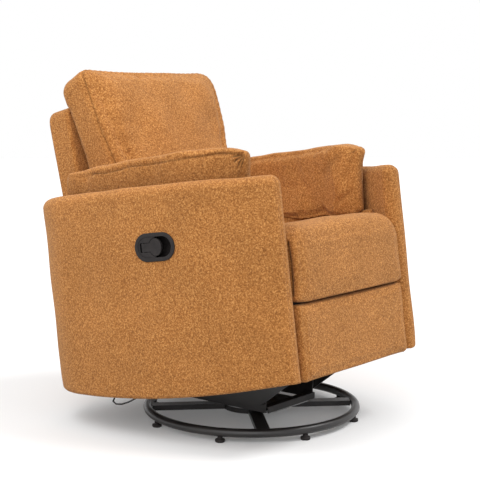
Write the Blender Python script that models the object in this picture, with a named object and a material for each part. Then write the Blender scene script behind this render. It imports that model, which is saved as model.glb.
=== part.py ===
"""Swivel glider recliner: ring base, glide links, manual footrest tongs, wrap-round arms.

Metres, +Z up. The sitter faces -Y and sits in the middle of X, with +X on the sitter's left.
The origin is on the floor at the centre of the ring base.
Everything above the glide links leans back by LEAN at rest. Those pieces are drawn upright, in
body coordinates, and their parent empty leans them back about the X axis through the origin.
"""
from math import acos, cos, pi, radians, sin

import bmesh
import bpy
import numpy as np
from mathutils import Matrix, Vector

GAP = 0.0003              # clearance between pieces that touch
PIN_ROOM = 0.0008         # how much wider a hole is than its pin, in radius
LEAN = radians(7.7)       # how far the upper chair leans back at rest
SHEET = 0.003             # thickness of every flat steel piece

# Half widths that hang together, all taken from the seat cushion's
SEAT_CUSHION_HALF = 0.260
SEAT_HALF = SEAT_CUSHION_HALF - 0.0135
SEAT_PLATE_X = SEAT_HALF + 0.0005          # |x| of the inner face, as for every sheet piece below
SWING_LINK_X = SEAT_PLATE_X + SHEET + 0.0015
BASE_RAIL_X = SWING_LINK_X + SHEET + 0.0015
CROSS_TUBE_HALF = SEAT_HALF - 0.0015
DRIVE_LAYER = SEAT_HALF - 0.005
OUTER_LAYER = DRIVE_LAYER - 0.0045
INNER_LAYER = OUTER_LAYER - 0.0045
LEVER_X = 0.028 - INNER_LAYER
CABLE_X = LEVER_X + 0.004
BOARD_HALF = SEAT_CUSHION_HALF - 0.010
PAD_HALF = SEAT_CUSHION_HALF - 0.0035
DECK_INNER_X = SEAT_CUSHION_HALF + 0.008
BACK_CUSHION_HALF = SEAT_CUSHION_HALF + 0.022
BACK_HALF = SEAT_CUSHION_HALF + 0.023
NOSE_X = SEAT_CUSHION_HALF + 0.0285
REAR_PANEL_HALF = SEAT_CUSHION_HALF + 0.0325

# Ring base, in world coordinates
RING_RADIUS = 0.312
RING_TUBE_RADIUS = 0.0125
RING_SIDES = 48
GLIDE_PAD_HEIGHT = 0.0157
GLIDE_PAD_RADIUS = 0.014
CROSS_ARM_WIDTH = 0.038
CROSS_ARM_HEIGHT = 0.015
HUB_RADIUS = 0.085
RACE_RADIUS = 0.068
RACE_WIDTH = 0.018
RACE_HEIGHT = 0.006
KING_PIN_RADIUS = 0.008

# Glide frame and links, in world coordinates
GLIDE_PLATE_HALF_X = 0.090
GLIDE_PLATE_HALF_Y = 0.152
GLIDE_RAIL_HALF_X = 0.112
GLIDE_TUBE_Y = 0.140
GLIDE_TUBE_WIDTH = 0.025
GLIDE_TUBE_HEIGHT = 0.018
GLIDE_PIVOT_Y = 0.130
GLIDE_PIVOT_Z = 0.160
GLIDE_LINK_LENGTH = 0.075
GLIDE_LINK_RADIUS = 0.011
GLIDE_LINK_X = 0.1185
GLIDE_PIN_RADIUS = 0.005
STAND_MARGIN = 0.014
STAND_HOLE_RADIUS = 0.034

# Chassis, in body coordinates
FRONT_TUBE_Y = -0.245
REAR_TUBE_Y = 0.205
CROSS_TUBE_SIZE = 0.025
CROSS_TUBE_WALL = 0.002
CROSS_TUBE_TOP = 0.152
WEDGE_RAIL_X = 0.1245
WEDGE_RAIL_THICKNESS = 0.004
WEDGE_RAIL_FRONT = -0.258
WEDGE_RAIL_REAR = 0.225
BASE_RAIL_HALF = 0.260
BASE_RAIL_TOP = 0.205
BASE_RAIL_FLANGE = 0.025
STRAP_WIDTH = 0.030
STRAP_START = 0.150

# Wrap-round arms, which start beside the seat cushion
ARM_THICKNESS = 0.055
ARM_TOP = 0.702
ARM_TOP_CAMBER = 0.006
ARM_BOTTOM = 0.157
ARM_BOTTOM_BOW = 0.022
NOSE_Y = -0.3855
NOSE_HEADING = radians(28.0)
ARM_ARCS = ((0.315, 1.025), (0.345, 1.820), (0.1845, 0.151))   # length and radius
ARM_CORE_THICKNESS = 0.018
ARM_CORE_COVER = 0.045
DECK_TOP = 0.574
DECK_THICKNESS = 0.020
DECK_SKIRT = 0.015
DECK_SKIRT_BOTTOM = 0.400
DECK_SKIRT_REAR = 0.232   # the back's lower edge swings forward to here as it reclines
DECK_NOTCH_Y = 0.292      # behind this the deck is cut back, so that the reclining back passes it
BACK_ROOM = 0.003
PILLOW_THICKNESS = 0.084
PILLOW_TOP = 0.785
PILLOW_FRONT = 0.080      # distance along the arm from the nose to the pillow
PILLOW_REAR = 0.755
PILLOW_FRONT_END = 0.64   # share of the pillow's thickness left at its boxed front end
PILLOW_REAR_END = 0.30
REAR_PANEL_TOP = 0.325
REAR_PANEL_Y = 0.388
REAR_PANEL_THICKNESS = 0.034

# Pull handle on the sitter's right arm
HANDLE_Y = -0.078
HANDLE_Z = 0.542
BEZEL_RADIUS = 0.039
CUP_RADIUS = 0.029
CUP_STRAIGHT = 0.025
CUP_DEPTH = 0.032
CUP_WALL = 0.0025
PADDLE_HINGE = -0.042
PADDLE_HEAD_RADIUS = 0.0225
PADDLE_STEM = 0.012
PADDLE_THICKNESS = 0.005
PADDLE_LEVEL = -0.005     # height of the paddle's pin below the arm's face
HEAD_SHIFT = 0.003        # how far the paddle's head lies to the front of the cup's middle

# Seat
SEAT_RAIL = 0.020
SEAT_FRAME_BOTTOM = 0.367
SEAT_FRAME_TOP = 0.430
SEAT_FRAME_FRONT = -0.365
SEAT_FRAME_REAR = 0.215
SEAT_CUSHION_FRONT = -0.420
SEAT_CUSHION_REAR = 0.272
SEAT_CUSHION_TOP = 0.562
SEAT_CUSHION_LIP = 0.358
SEAT_CUSHION_CROWN = 0.010
SPRING_WIRE = 0.0018
SPRING_COUNT = 4
SPRING_SPACING = 0.105
SPRING_SWING = 0.026      # how far a spring weaves to either side
SPRING_BULGE = 0.008
SPRING_WAVES = 7
SWING_LENGTH = 0.075
SWING_ANGLE = radians(20.0)
SWING_FRONT_Y = -0.130
SWING_REAR_Y = 0.150
SWING_PIVOT_Z = 0.190
SWING_LINK_RADIUS = 0.011
SWING_TIE = 0.017         # distance of the tie rod from the links' lower pivots

# Footrest tongs: bars of length 2 * TONG_HALF, drawn folded
TONG_HALF = 0.100
TONG_FOLDED = radians(84.0)
TONG_AXIS = radians(-5.0)
TONG_WIDTH = 0.016
TONG_Y = -0.290
TONG_Z = 0.248
TONG_PIN_RADIUS = 0.0035
TONG_HEAD_RADIUS = 0.006
TONG_HEAD = 0.0012
DRIVE_ARM = 0.045
DRIVE_OFFSET = radians(50.0)
ROD_SETBACK = 0.125
ROD_RISE = 0.014
ROD_RADIUS = 0.009
BOARD_THICKNESS = 0.015
BOARD_BOTTOM = 0.165
BOARD_TOP = 0.345
PAD_FRONT = -0.413
PAD_THICKNESS = 0.045
PAD_BOTTOM = 0.153
PAD_TOP = 0.352

# Release lever beside the torque rod
LEVER_THICKNESS = 0.004
LEVER_Y = -0.205
LEVER_Z = 0.195
LEVER_REACH = 0.075
LEVER_REST = radians(32.0)   # slope of the lever's nose above level, behind its pivot
LUG_REACH = 0.036
CABLE_Y = -0.222          # where the cable ends under the lever's front arm
BRACKET_Z = CROSS_TUBE_TOP + SHEET + 2 * GAP
EAR_Z = BRACKET_Z + 0.0077

# Back
HINGE_Y = 0.245
HINGE_Z = 0.400
BACK_LEAN = radians(6.0)
BACK_MIDDLE_Y = 0.3765
BACK_MIDDLE_Z = 0.712
BACK_THICKNESS = 0.087
BACK_BOTTOM = 0.335
BACK_TOP = 0.965
BACK_FRAME_THICKNESS = 0.025
BACK_FRAME_HALF = SWING_LINK_X - GAP
BACK_CUSHION_TOP = 1.066
BACK_CUSHION_BOTTOM = 0.570

for old in list(bpy.data.objects):
    bpy.data.objects.remove(old, do_unlink=True)

HIDDEN = bpy.data.collections.new("cutters")
bpy.context.scene.collection.children.link(HIDDEN)
JOINTS = {}
SIDES = ((1, "left"), (-1, "right"))


def to_body(y, z):
    """World (y, z) as body coordinates: the lean undone."""
    return y * cos(LEAN) - z * sin(LEAN), y * sin(LEAN) + z * cos(LEAN)


def material(name, colour, roughness, metallic=0.0):
    """A plain finish for one material slot."""
    found = bpy.data.materials.new(name)
    found.use_nodes = True
    shader = found.node_tree.nodes["Principled BSDF"]
    shader.inputs["Base Color"].default_value = (*colour, 1.0)
    shader.inputs["Roughness"].default_value = roughness
    shader.inputs["Metallic"].default_value = metallic
    return found


BLACK_STEEL = material("black_steel", (0.014, 0.012, 0.012), 0.38, 0.6)
ZINC_STEEL = material("zinc_steel", (0.42, 0.42, 0.44), 0.35, 0.9)
PLASTIC = material("black_plastic", (0.012, 0.012, 0.013), 0.35)
WOOD = material("plywood", (0.55, 0.38, 0.22), 0.6)
FABRIC = material("boucle_fabric", (0.47, 0.19, 0.065), 0.95)
CASING = material("cable_casing", (0.01, 0.01, 0.01), 0.45)


def joint(name, parent, pivot, leaned=False):
    """An empty on a joint's axis. pivot is (y, z) in the coordinates that its pieces are drawn in."""
    frame = bpy.data.objects.new(f"{name}_axis", None)
    bpy.context.scene.collection.objects.link(frame)
    frame.empty_display_size = 0.05
    here = Vector((0.0, *pivot))
    before = Vector((0.0, 0.0, 0.0))
    if parent:
        frame.parent = JOINTS[parent][0]
        before = JOINTS[parent][1]
    frame.location = here - before
    if leaned:
        world = Matrix.Rotation(-LEAN, 4, "X") @ here
        frame.location = world - before
        frame.rotation_euler.x = -LEAN
    JOINTS[name] = (frame, here)


def add(name, bm, finish, body, smooth=35.0, hidden=False):
    """An object from a mesh drawn in its body's coordinates, with its origin on the body's joint."""
    bmesh.ops.recalc_face_normals(bm, faces=bm.faces)
    frame, pivot = JOINTS[body]
    bmesh.ops.translate(bm, verts=bm.verts, vec=-pivot)
    mesh = bpy.data.meshes.new(name)
    bm.to_mesh(mesh)
    bm.free()
    mesh.materials.append(finish)
    mesh.shade_smooth()
    mesh.set_sharp_from_angle(angle=radians(smooth))
    made = bpy.data.objects.new(name, mesh)
    made.parent = frame
    if hidden:
        made.hide_render = True
        made.display_type = "WIRE"
        HIDDEN.objects.link(made)
    else:
        bpy.context.scene.collection.objects.link(made)
    return made


def boolean(target, tool, body, operation="DIFFERENCE"):
    """Cuts the tool's mesh out of the target, or joins it on."""
    helper = add(f"{target.name}_tool_{len(target.modifiers)}", tool, WOOD, body, hidden=True)
    modifier = target.modifiers.new(operation.lower(), "BOOLEAN")
    modifier.operation = operation
    modifier.object = helper


def bevel(target, width, segments=2, angle=40.0):
    """Rounds every edge of the target that is sharper than the angle."""
    modifier = target.modifiers.new("bevel", "BEVEL")
    modifier.width = width
    modifier.segments = segments
    modifier.limit_method = "ANGLE"
    modifier.angle_limit = radians(angle)


def merged(*parts):
    """One mesh from several that don't touch."""
    whole = bmesh.new()
    for part in parts:
        mesh = bpy.data.meshes.new("part")
        part.to_mesh(mesh)
        part.free()
        whole.from_mesh(mesh)
        bpy.data.meshes.remove(mesh)
    return whole


def both(bm):
    """The mesh and its mirror image across the middle of the chair."""
    twin = bm.copy()
    bmesh.ops.scale(twin, vec=(-1.0, 1.0, 1.0), verts=twin.verts)
    bmesh.ops.reverse_faces(twin, faces=twin.faces)
    return merged(bm, twin)


def mirrored(bm, side):
    """The mesh as drawn for the sitter's left, or its mirror image for the right."""
    if side < 0:
        bmesh.ops.scale(bm, vec=(-1.0, 1.0, 1.0), verts=bm.verts)
        bmesh.ops.reverse_faces(bm, faces=bm.faces)
    return bm


def loft(rings, wrap=False):
    """A closed mesh through equal rings of points, capped at both ends, or joined end to end."""
    bm = bmesh.new()
    rows = [[bm.verts.new(point) for point in ring] for ring in rings]
    following = rows[1:] + ([rows[0]] if wrap else [])
    for row, after in zip(rows, following):
        for i in range(len(row)):
            k = (i + 1) % len(row)
            bm.faces.new((row[i], row[k], after[k], after[i]))
    if not wrap:
        bm.faces.new(rows[0][::-1])
        bm.faces.new(rows[-1])
    return bm


def circle(a, b, radius, count=12):
    """Points of a circle about (a, b)."""
    turn = [2 * pi * i / count for i in range(count)]
    return [(a + radius * cos(t), b + radius * sin(t)) for t in turn]


def hull(*circles, count=12):
    """The tight outline round several circles (a, b, radius), as a monotone chain."""
    points = sorted({p for a, b, r in circles for p in circle(a, b, r, count)})

    def chain(run):
        kept = []
        for p in run:
            while len(kept) > 1 and (
                (kept[-1][0] - kept[-2][0]) * (p[1] - kept[-2][1])
                <= (kept[-1][1] - kept[-2][1]) * (p[0] - kept[-2][0]) + 1e-12
            ):
                kept.pop()
            kept.append(p)
        return kept[:-1]

    return chain(points) + chain(points[::-1])


def rounded(a0, a1, b0, b1, radius, steps=4):
    """A rectangle's outline with round corners."""
    corners = ((a1 - radius, b1 - radius, 0), (a0 + radius, b1 - radius, 1),
               (a0 + radius, b0 + radius, 2), (a1 - radius, b0 + radius, 3))
    return [(a + radius * cos(pi / 2 * (q + i / steps)), b + radius * sin(pi / 2 * (q + i / steps)))
            for a, b, q in corners for i in range(steps + 1)]


def plate(outline, start, thickness, axis="X", holes=(), hole_sides=8):
    """A flat sheet with holes, normal to an axis. Outline and holes are in the other two axes."""
    place = {"X": lambda a, b: (start, a, b),
             "Y": lambda a, b: (a, start, b),
             "Z": lambda a, b: (a, b, start)}[axis]
    bm = bmesh.new()
    edges = []
    for loop in [outline] + [circle(a, b, r, hole_sides) for a, b, r in holes]:
        verts = [bm.verts.new(place(a, b)) for a, b in loop]
        edges += [bm.edges.new(pair) for pair in zip(verts, verts[1:] + verts[:1])]
    bmesh.ops.triangle_fill(bm, use_beauty=True, edges=edges)
    grown = bmesh.ops.extrude_face_region(bm, geom=bm.faces[:])["geom"]
    step = Vector([thickness if name == axis else 0.0 for name in "XYZ"])
    bmesh.ops.translate(bm, verts=[g for g in grown if isinstance(g, bmesh.types.BMVert)], vec=step)
    return bm


def box(x0, x1, y0, y1, z0, z1):
    """A rectangular block."""
    return plate(rectangle(x0, x1, y0, y1), z0, z1 - z0, "Z")


def turned(profile, centre, axis="Z", sides=24, wrap=False):
    """A round piece: (radius, position along the axis) pairs, turned about the axis."""
    rings = []
    for radius, along in profile:
        ring = []
        for i in range(sides):
            u = radius * cos(2 * pi * i / sides)
            v = radius * sin(2 * pi * i / sides)
            point = {"X": (along, u, v), "Y": (u, along, v), "Z": (u, v, along)}[axis]
            ring.append([p + c for p, c in zip(point, centre)])
        rings.append(ring)
    return loft(rings, wrap)


def stud(y, z, x0, x1, radius, head_radius, head, collar=None):
    """A shouldered pin along X, its head at x1. collar is (radius, length) at x0."""
    way = 1.0 if x1 > x0 else -1.0
    profile = [(radius, x0)]
    if collar:
        profile = [(collar[0], x0), (collar[0], x0 + way * collar[1]), (radius, x0 + way * collar[1])]
    profile += [(radius, x1 - way * head), (head_radius, x1 - way * head), (head_radius, x1)]
    return turned(profile, (0.0, y, z), "X", sides=8)


def make_base():
    """Ring with its floor glides, crossed arms and the fixed half of the swivel."""
    joint("base", None, (0.0, 0.0))
    tube_z = GLIDE_PAD_HEIGHT + RING_TUBE_RADIUS
    turn = [2 * pi * i / 8 for i in range(8)]
    section = [(RING_RADIUS + RING_TUBE_RADIUS * cos(t), tube_z + RING_TUBE_RADIUS * sin(t)) for t in turn]
    ring = add("base_ring", turned(section, (0, 0, 0), sides=RING_SIDES, wrap=True), BLACK_STEEL, "base")
    pads = []
    for i in range(8):
        angle = pi / 8 + pi / 4 * i
        centre = (RING_RADIUS * cos(angle), RING_RADIUS * sin(angle), 0.0)
        foot = [(GLIDE_PAD_RADIUS - 0.001, 0.0), (GLIDE_PAD_RADIUS, 0.008), (GLIDE_PAD_RADIUS / 2, 0.010),
                (GLIDE_PAD_RADIUS / 2, GLIDE_PAD_HEIGHT + 0.004)]
        pads.append(turned(foot, centre, sides=10))
    boolean(ring, merged(*pads), "base", "UNION")

    arms_z = tube_z - CROSS_ARM_HEIGHT / 2
    reach = (RING_RADIUS - RING_TUBE_RADIUS) * cos(pi / RING_SIDES) - GAP
    arms = add("cross_arms", plate(cross_outline(reach, 0.0), arms_z, CROSS_ARM_HEIGHT, "Z",
                                   [(0, 0, KING_PIN_RADIUS + 0.0015)]), BLACK_STEEL, "base")
    hollow = plate(cross_outline(reach - SHEET, SHEET), arms_z - 0.01, CROSS_ARM_HEIGHT - SHEET + 0.01, "Z")
    boolean(arms, hollow, "base")

    plate_z = arms_z + CROSS_ARM_HEIGHT + GAP
    ring = [(HUB_RADIUS, plate_z), (HUB_RADIUS, plate_z + SHEET),
            (KING_PIN_RADIUS + 0.0005, plate_z + SHEET), (KING_PIN_RADIUS + 0.0005, plate_z)]
    add("swivel_lower_plate", turned(ring, (0, 0, 0), sides=36, wrap=True), ZINC_STEEL, "base")

    race_z = plate_z + SHEET + GAP
    inner = RACE_RADIUS - RACE_WIDTH
    race = [(RACE_RADIUS, race_z), (RACE_RADIUS, race_z + RACE_HEIGHT), (inner, race_z + RACE_HEIGHT),
            (inner, race_z)]
    add("bearing_race", turned(race, (0, 0, 0), sides=36, wrap=True), PLASTIC, "base")
    return arms_z, race_z + RACE_HEIGHT + GAP


def cross_outline(reach, inset):
    """Plan of four arms on a round hub, each with its end on the circle of the ring's inside."""
    half = CROSS_ARM_WIDTH / 2 - inset
    hub = HUB_RADIUS - inset
    tip, root = acos(half / reach), acos(half / hub)
    points = []
    for i in range(4):
        middle = pi / 4 + pi / 2 * i
        for k in range(5):
            angle = middle + (pi / 2 - tip) * (k / 2 - 1)
            points.append((reach * cos(angle), reach * sin(angle)))
        for k in range(6):
            angle = middle + (pi / 2 - root) + (pi / 2 - 2 * (pi / 2 - root)) * k / 5
            points.append((hub * cos(angle), hub * sin(angle)))
    return points


def make_swivel(arms_z, plate_z):
    """The turning half of the swivel: plate, king pin, and the welded stand of the glide links."""
    joint("swivel", "base", (0.0, 0.0))
    outline = rounded(-GLIDE_PLATE_HALF_X, GLIDE_PLATE_HALF_X, -GLIDE_PLATE_HALF_Y, GLIDE_PLATE_HALF_Y, 0.012)
    add("swivel_upper_plate", plate(outline, plate_z, SHEET, "Z", [(0, 0, KING_PIN_RADIUS + GAP)], 16),
        ZINC_STEEL, "swivel")

    roof = arms_z + CROSS_ARM_HEIGHT - SHEET
    nut = plate_z + SHEET + GAP
    pin = [(0.013, roof - GAP - 0.006), (0.013, roof - GAP), (KING_PIN_RADIUS, roof - GAP),
           (KING_PIN_RADIUS, nut), (0.0135, nut), (0.0135, nut + 0.009), (KING_PIN_RADIUS, nut + 0.009),
           (KING_PIN_RADIUS - 0.001, nut + 0.013)]
    add("king_pin", turned(pin, (0, 0, 0), sides=16), ZINC_STEEL, "swivel")

    rail_z = plate_z + SHEET + GAP
    half = GLIDE_PIVOT_Y + STAND_MARGIN
    top = GLIDE_PIVOT_Z + STAND_MARGIN
    holes = [(y, (rail_z + top) / 2, STAND_HOLE_RADIUS) for y in (-0.056, 0.056)]
    holes += [(y, GLIDE_PIVOT_Z, GLIDE_PIN_RADIUS + PIN_ROOM) for y in (-GLIDE_PIVOT_Y, GLIDE_PIVOT_Y)]
    cheek = both(plate(rounded(-half, half, rail_z, top, 0.010), GLIDE_RAIL_HALF_X, SHEET, "X", holes, 12))
    rails = []
    for y in (-GLIDE_TUBE_Y, GLIDE_TUBE_Y):
        channel = channel_outline(y, GLIDE_TUBE_WIDTH, rail_z, rail_z + GLIDE_TUBE_HEIGHT)
        rails.append(plate(channel, -GLIDE_RAIL_HALF_X - SHEET / 2, 2 * GLIDE_RAIL_HALF_X + SHEET, "X"))
    stand = add("glide_stand", merged(*rails), BLACK_STEEL, "swivel")
    boolean(stand, cheek, "swivel", "UNION")


def channel_outline(y, width, z0, z1, wall=0.0025):
    """Section of a folded channel that is open below."""
    y0, y1 = y - width / 2, y + width / 2
    return [(y0, z0), (y0 + wall, z0), (y0 + wall, z1 - wall), (y1 - wall, z1 - wall), (y1 - wall, z0),
            (y1, z0), (y1, z1), (y0, z1)]


def rectangle(a0, a1, b0, b1):
    """A rectangle's four corners in a plane."""
    return [(a0, b0), (a1, b0), (a1, b1), (a0, b1)]


def tube_x(outer, inner, half):
    """A straight tube along X between two outlines."""
    rings = [[(x, *point) for point in loop]
             for x, loop in ((-half, outer), (half, outer), (half, inner), (-half, inner))]
    return loft(rings, wrap=True)


def make_glide_links():
    """Two pairs of hanging links, each pair welded to the shaft that it swings on."""
    low = GLIDE_PIVOT_Z - GLIDE_LINK_LENGTH
    for name, y in (("glide_links_front", -GLIDE_PIVOT_Y), ("glide_links_rear", GLIDE_PIVOT_Y)):
        joint(name, "swivel", (y, GLIDE_PIVOT_Z))
        end = GLIDE_LINK_X + SHEET + 0.001
        shaft = turned([(GLIDE_PIN_RADIUS, -end), (GLIDE_PIN_RADIUS, end)], (0.0, y, GLIDE_PIVOT_Z), "X", 12)
        links = add(name, shaft, ZINC_STEEL, name)
        outline = hull((y, GLIDE_PIVOT_Z, GLIDE_LINK_RADIUS), (y, low, GLIDE_LINK_RADIUS))
        bar = plate(outline, GLIDE_LINK_X, SHEET, "X", [(y, low, GLIDE_PIN_RADIUS + PIN_ROOM)])
        boolean(links, both(bar), name, "UNION")


def make_chassis():
    """Wedge-shaped glide rails, cross tubes with arm straps, and base rails: they carry arms and seat."""
    low = GLIDE_PIVOT_Z - GLIDE_LINK_LENGTH
    front, rear = to_body(-GLIDE_PIVOT_Y, low), to_body(GLIDE_PIVOT_Y, low)
    joint("chassis", "glide_links_front", front, leaned=True)

    top = CROSS_TUBE_TOP - CROSS_TUBE_SIZE - GAP
    wedge = hull((*front, STAND_MARGIN), (*rear, STAND_MARGIN), (WEDGE_RAIL_REAR, top - 0.004, 0.004),
                 (WEDGE_RAIL_FRONT, top - 0.004, 0.004))
    hole = [((front[0] + rear[0]) / 2 - 0.03, (front[1] + top) / 2 + 0.006, 0.014)]
    for side, word in SIDES:
        sheet = plate(wedge, WEDGE_RAIL_X, WEDGE_RAIL_THICKNESS, "X", hole)
        rail = add(f"glide_rail_{word}", mirrored(sheet, side), BLACK_STEEL, "chassis")
        middle = WEDGE_RAIL_X + WEDGE_RAIL_THICKNESS / 2
        for spot in (front, rear):
            pin = shoulder_pin(spot, middle, GLIDE_LINK_X + SHEET, GLIDE_LINK_X)
            boolean(rail, mirrored(pin, side), "chassis", "UNION")

    strap_z = CROSS_TUBE_TOP + GAP
    for y, word in ((FRONT_TUBE_Y, "front"), (REAR_TUBE_Y, "rear")):
        low_y, high_y = y - CROSS_TUBE_SIZE / 2, y + CROSS_TUBE_SIZE / 2
        wall = CROSS_TUBE_WALL
        bottom = CROSS_TUBE_TOP - CROSS_TUBE_SIZE
        outer = rectangle(low_y, high_y, bottom, CROSS_TUBE_TOP)
        inner = rectangle(low_y + wall, high_y - wall, bottom + wall, CROSS_TUBE_TOP - wall)
        tube = add(f"cross_tube_{word}", tube_x(outer, inner, CROSS_TUBE_HALF), BLACK_STEEL, "chassis")
        strap_y0, strap_y1 = y - STRAP_WIDTH / 2, y + STRAP_WIDTH / 2
        reach = min(arm_x_at(strap_y0), arm_x_at(strap_y1)) + ARM_CORE_THICKNESS / 2 - 0.001
        strap = plate(rounded(STRAP_START, reach, strap_y0, strap_y1, 0.008, 3), CROSS_TUBE_TOP - 0.001,
                      SHEET + 0.001 + GAP, "Z")
        boolean(tube, both(strap), "chassis", "UNION")

    rail_z = strap_z + SHEET + GAP
    outside = BASE_RAIL_X + SHEET
    section = [(outside, rail_z), (outside, BASE_RAIL_TOP), (BASE_RAIL_X, BASE_RAIL_TOP),
               (BASE_RAIL_X, rail_z + SHEET), (outside - BASE_RAIL_FLANGE, rail_z + SHEET),
               (outside - BASE_RAIL_FLANGE, rail_z)]
    for side, word in SIDES:
        angle = plate(section, -BASE_RAIL_HALF, 2 * BASE_RAIL_HALF, "Y")
        rail = add(f"base_rail_{word}", mirrored(angle, side), BLACK_STEEL, "chassis")
        middle = BASE_RAIL_X + SHEET / 2
        for y in (SWING_FRONT_Y, SWING_REAR_Y):
            pin = shoulder_pin((y, SWING_PIVOT_Z), middle, SWING_LINK_X + SHEET, SWING_LINK_X)
            boolean(rail, mirrored(pin, side), "chassis", "UNION")


def shoulder_pin(spot, start, near, far, radius=GLIDE_PIN_RADIUS, head=TONG_HEAD):
    """A pin fixed at x = start, its collar up to a bar's near face and its head behind the far face."""
    way = 1.0 if far > near else -1.0
    shoulder = radius + 0.0022
    collar = (shoulder, abs(near - start) - GAP)
    return stud(*spot, start, far + way * (GAP + head), radius, shoulder, head, collar)


def arm_stations(count=24, offset=0.0, start=0.0, end=None):
    """Points of an arm's middle line in plan, moved outwards by offset, with headings and distances."""
    total = sum(length for length, _ in ARM_ARCS)
    end = total if end is None else end
    fine = np.linspace(0.0, total, 1201)
    bend = np.zeros_like(fine)
    passed = 0.0
    for length, radius in ARM_ARCS:
        bend[(fine >= passed) & (fine <= passed + length)] = 1.0 / radius
        passed += length
    step = np.diff(fine, prepend=0.0)
    heading = NOSE_HEADING - np.cumsum(bend * step)
    x = NOSE_X + np.cumsum(np.sin(heading) * step)
    y = NOSE_Y + np.cumsum(np.cos(heading) * step)
    # Stations lie closer together where the line bends more.
    measure = np.cumsum((0.35 + 0.12 * bend) * step)
    low, high = np.interp([start, end], fine, measure)
    at = np.interp(np.linspace(low, high, count), measure, fine)
    turn = np.interp(at, fine, heading)
    px = np.interp(at, fine, x) + offset * np.cos(turn)
    py = np.interp(at, fine, y) - offset * np.sin(turn)
    return px, py, turn, at / total


def arm_x_at(y):
    """The middle line's |x| at a y on its straighter part."""
    px, py, _, _ = arm_stations(200)
    return float(np.interp(y, py[:140], px[:140]))


def arm_wall(thickness, bottom, top, start=0.0, end=None, round_top=True, bow=0.0, camber=0.0, ends=4):
    """A wall along the arm's middle line. Its top edge and both ends are round where round_top says."""
    px, py, turn, share = arm_stations(24, 0.0, start, end)
    half = thickness / 2
    rings = []
    last = len(px) - 1
    caps = [(0, -1.0, k) for k in range(ends, 0, -1)] if round_top else []
    caps += [(i, 0.0, 0) for i in range(len(px))]
    caps += [(last, 1.0, k) for k in range(1, ends + 1)] if round_top else []
    for i, way, k in caps:
        angle = radians(80.0) * k / ends
        r = half * cos(angle)
        forward = way * half * sin(angle)
        ax = px[i] + forward * sin(turn[i])
        ay = py[i] + forward * cos(turn[i])
        low = bottom - bow * sin(pi * share[i])
        high = top + camber * sin(pi * share[i])
        if round_top:
            side = [(r * cos(t), high - half + r * sin(t)) for t in np.linspace(0.0, pi, 8)]
            foot = min(0.007, r * 0.8)
            side += [(-r, low + foot), (-r + foot * 0.3, low + foot * 0.3), (-r + foot, low)]
            side += [(r - foot, low), (r - foot * 0.3, low + foot * 0.3), (r, low + foot)]
        else:
            side = [(r, high), (-r, high), (-r, low), (r, low)]
        rings.append([(ax + w * cos(turn[i]), ay - w * sin(turn[i]), z) for w, z in side])
    return loft(rings)


def make_arms():
    """Two wrap-round arms: a padded cover over a bent plywood core, an inner deck and a loose pillow."""
    total = sum(length for length, _ in ARM_ARCS)
    slot = ARM_CORE_THICKNESS + 2 * GAP
    core_bottom = CROSS_TUBE_TOP + 2 * GAP + SHEET
    for side, word in SIDES:
        cover = add(f"arm_cover_{word}",
                    mirrored(arm_wall(ARM_THICKNESS, ARM_BOTTOM, ARM_TOP, bow=ARM_BOTTOM_BOW,
                                      camber=ARM_TOP_CAMBER), side), FABRIC, "chassis", 50.0)
        pocket = arm_wall(slot, ARM_BOTTOM - 0.08, ARM_TOP - ARM_CORE_COVER + GAP, 0.02, total - 0.02,
                          round_top=False)
        boolean(cover, mirrored(pocket, side), "chassis")
        for y in (FRONT_TUBE_Y, REAR_TUBE_Y):
            middle = arm_x_at(y)
            notch = box(middle - 0.055, middle, y - STRAP_WIDTH / 2 - 0.004, y + STRAP_WIDTH / 2 + 0.004,
                        ARM_BOTTOM - 0.06, core_bottom + 0.004)
            boolean(cover, mirrored(notch, side), "chassis")
        core = add(f"arm_core_{word}",
                   mirrored(arm_wall(ARM_CORE_THICKNESS, core_bottom, ARM_TOP - ARM_CORE_COVER, 0.0203,
                                     total - 0.0203, round_top=False), side), WOOD, "chassis")
        if side < 0:
            frame = handle_frame()
            inset = CUP_RADIUS + GAP
            cutter = stadium_rings([(inset, -CUP_DEPTH - 0.002), (inset, 0.02)])
            cutter.transform(frame)
            boolean(cover, cutter, "chassis")
            cutter = stadium_rings([(inset + 0.004, -ARM_THICKNESS), (inset + 0.004, 0.02)])
            cutter.transform(frame)
            boolean(core, cutter, "chassis")
            ends = [(0.0045, -ARM_THICKNESS - 0.02), (0.0045, -CUP_DEPTH + 0.01)]
            drill = turned(ends, (0.0, 0.0, 0.0), sides=8)
            drill.transform(frame)
            boolean(cover, drill, "chassis")

        px, py, _, _ = arm_stations(14, -ARM_THICKNESS / 2 - 3 * GAP, 0.06, 0.735)
        beside_back = BACK_HALF + BACK_ROOM
        top = [(DECK_INNER_X, py[0]), *zip(px, py), (beside_back, py[-1]), (beside_back, DECK_NOTCH_Y),
               (DECK_INNER_X, DECK_NOTCH_Y)]
        level = plate(top, DECK_TOP - DECK_THICKNESS, DECK_THICKNESS, "Z")
        deck = add(f"arm_deck_{word}", mirrored(level, side), FABRIC, "chassis")
        skirt = box(DECK_INNER_X, DECK_INNER_X + DECK_SKIRT, py[0] + 0.002, DECK_SKIRT_REAR,
                    DECK_SKIRT_BOTTOM, DECK_TOP - DECK_THICKNESS / 2)
        boolean(deck, mirrored(skirt, side), "chassis", "UNION")
        add(f"arm_pillow_{word}", mirrored(arm_pillow(), side), FABRIC, "chassis", 60.0)


def soft_section(half_a, half_b, radius, steps=4):
    """A rounded rectangle about its middle, counter-clockwise."""
    return np.array(rounded(-half_a, half_a, -half_b, half_b, radius, steps))


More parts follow.
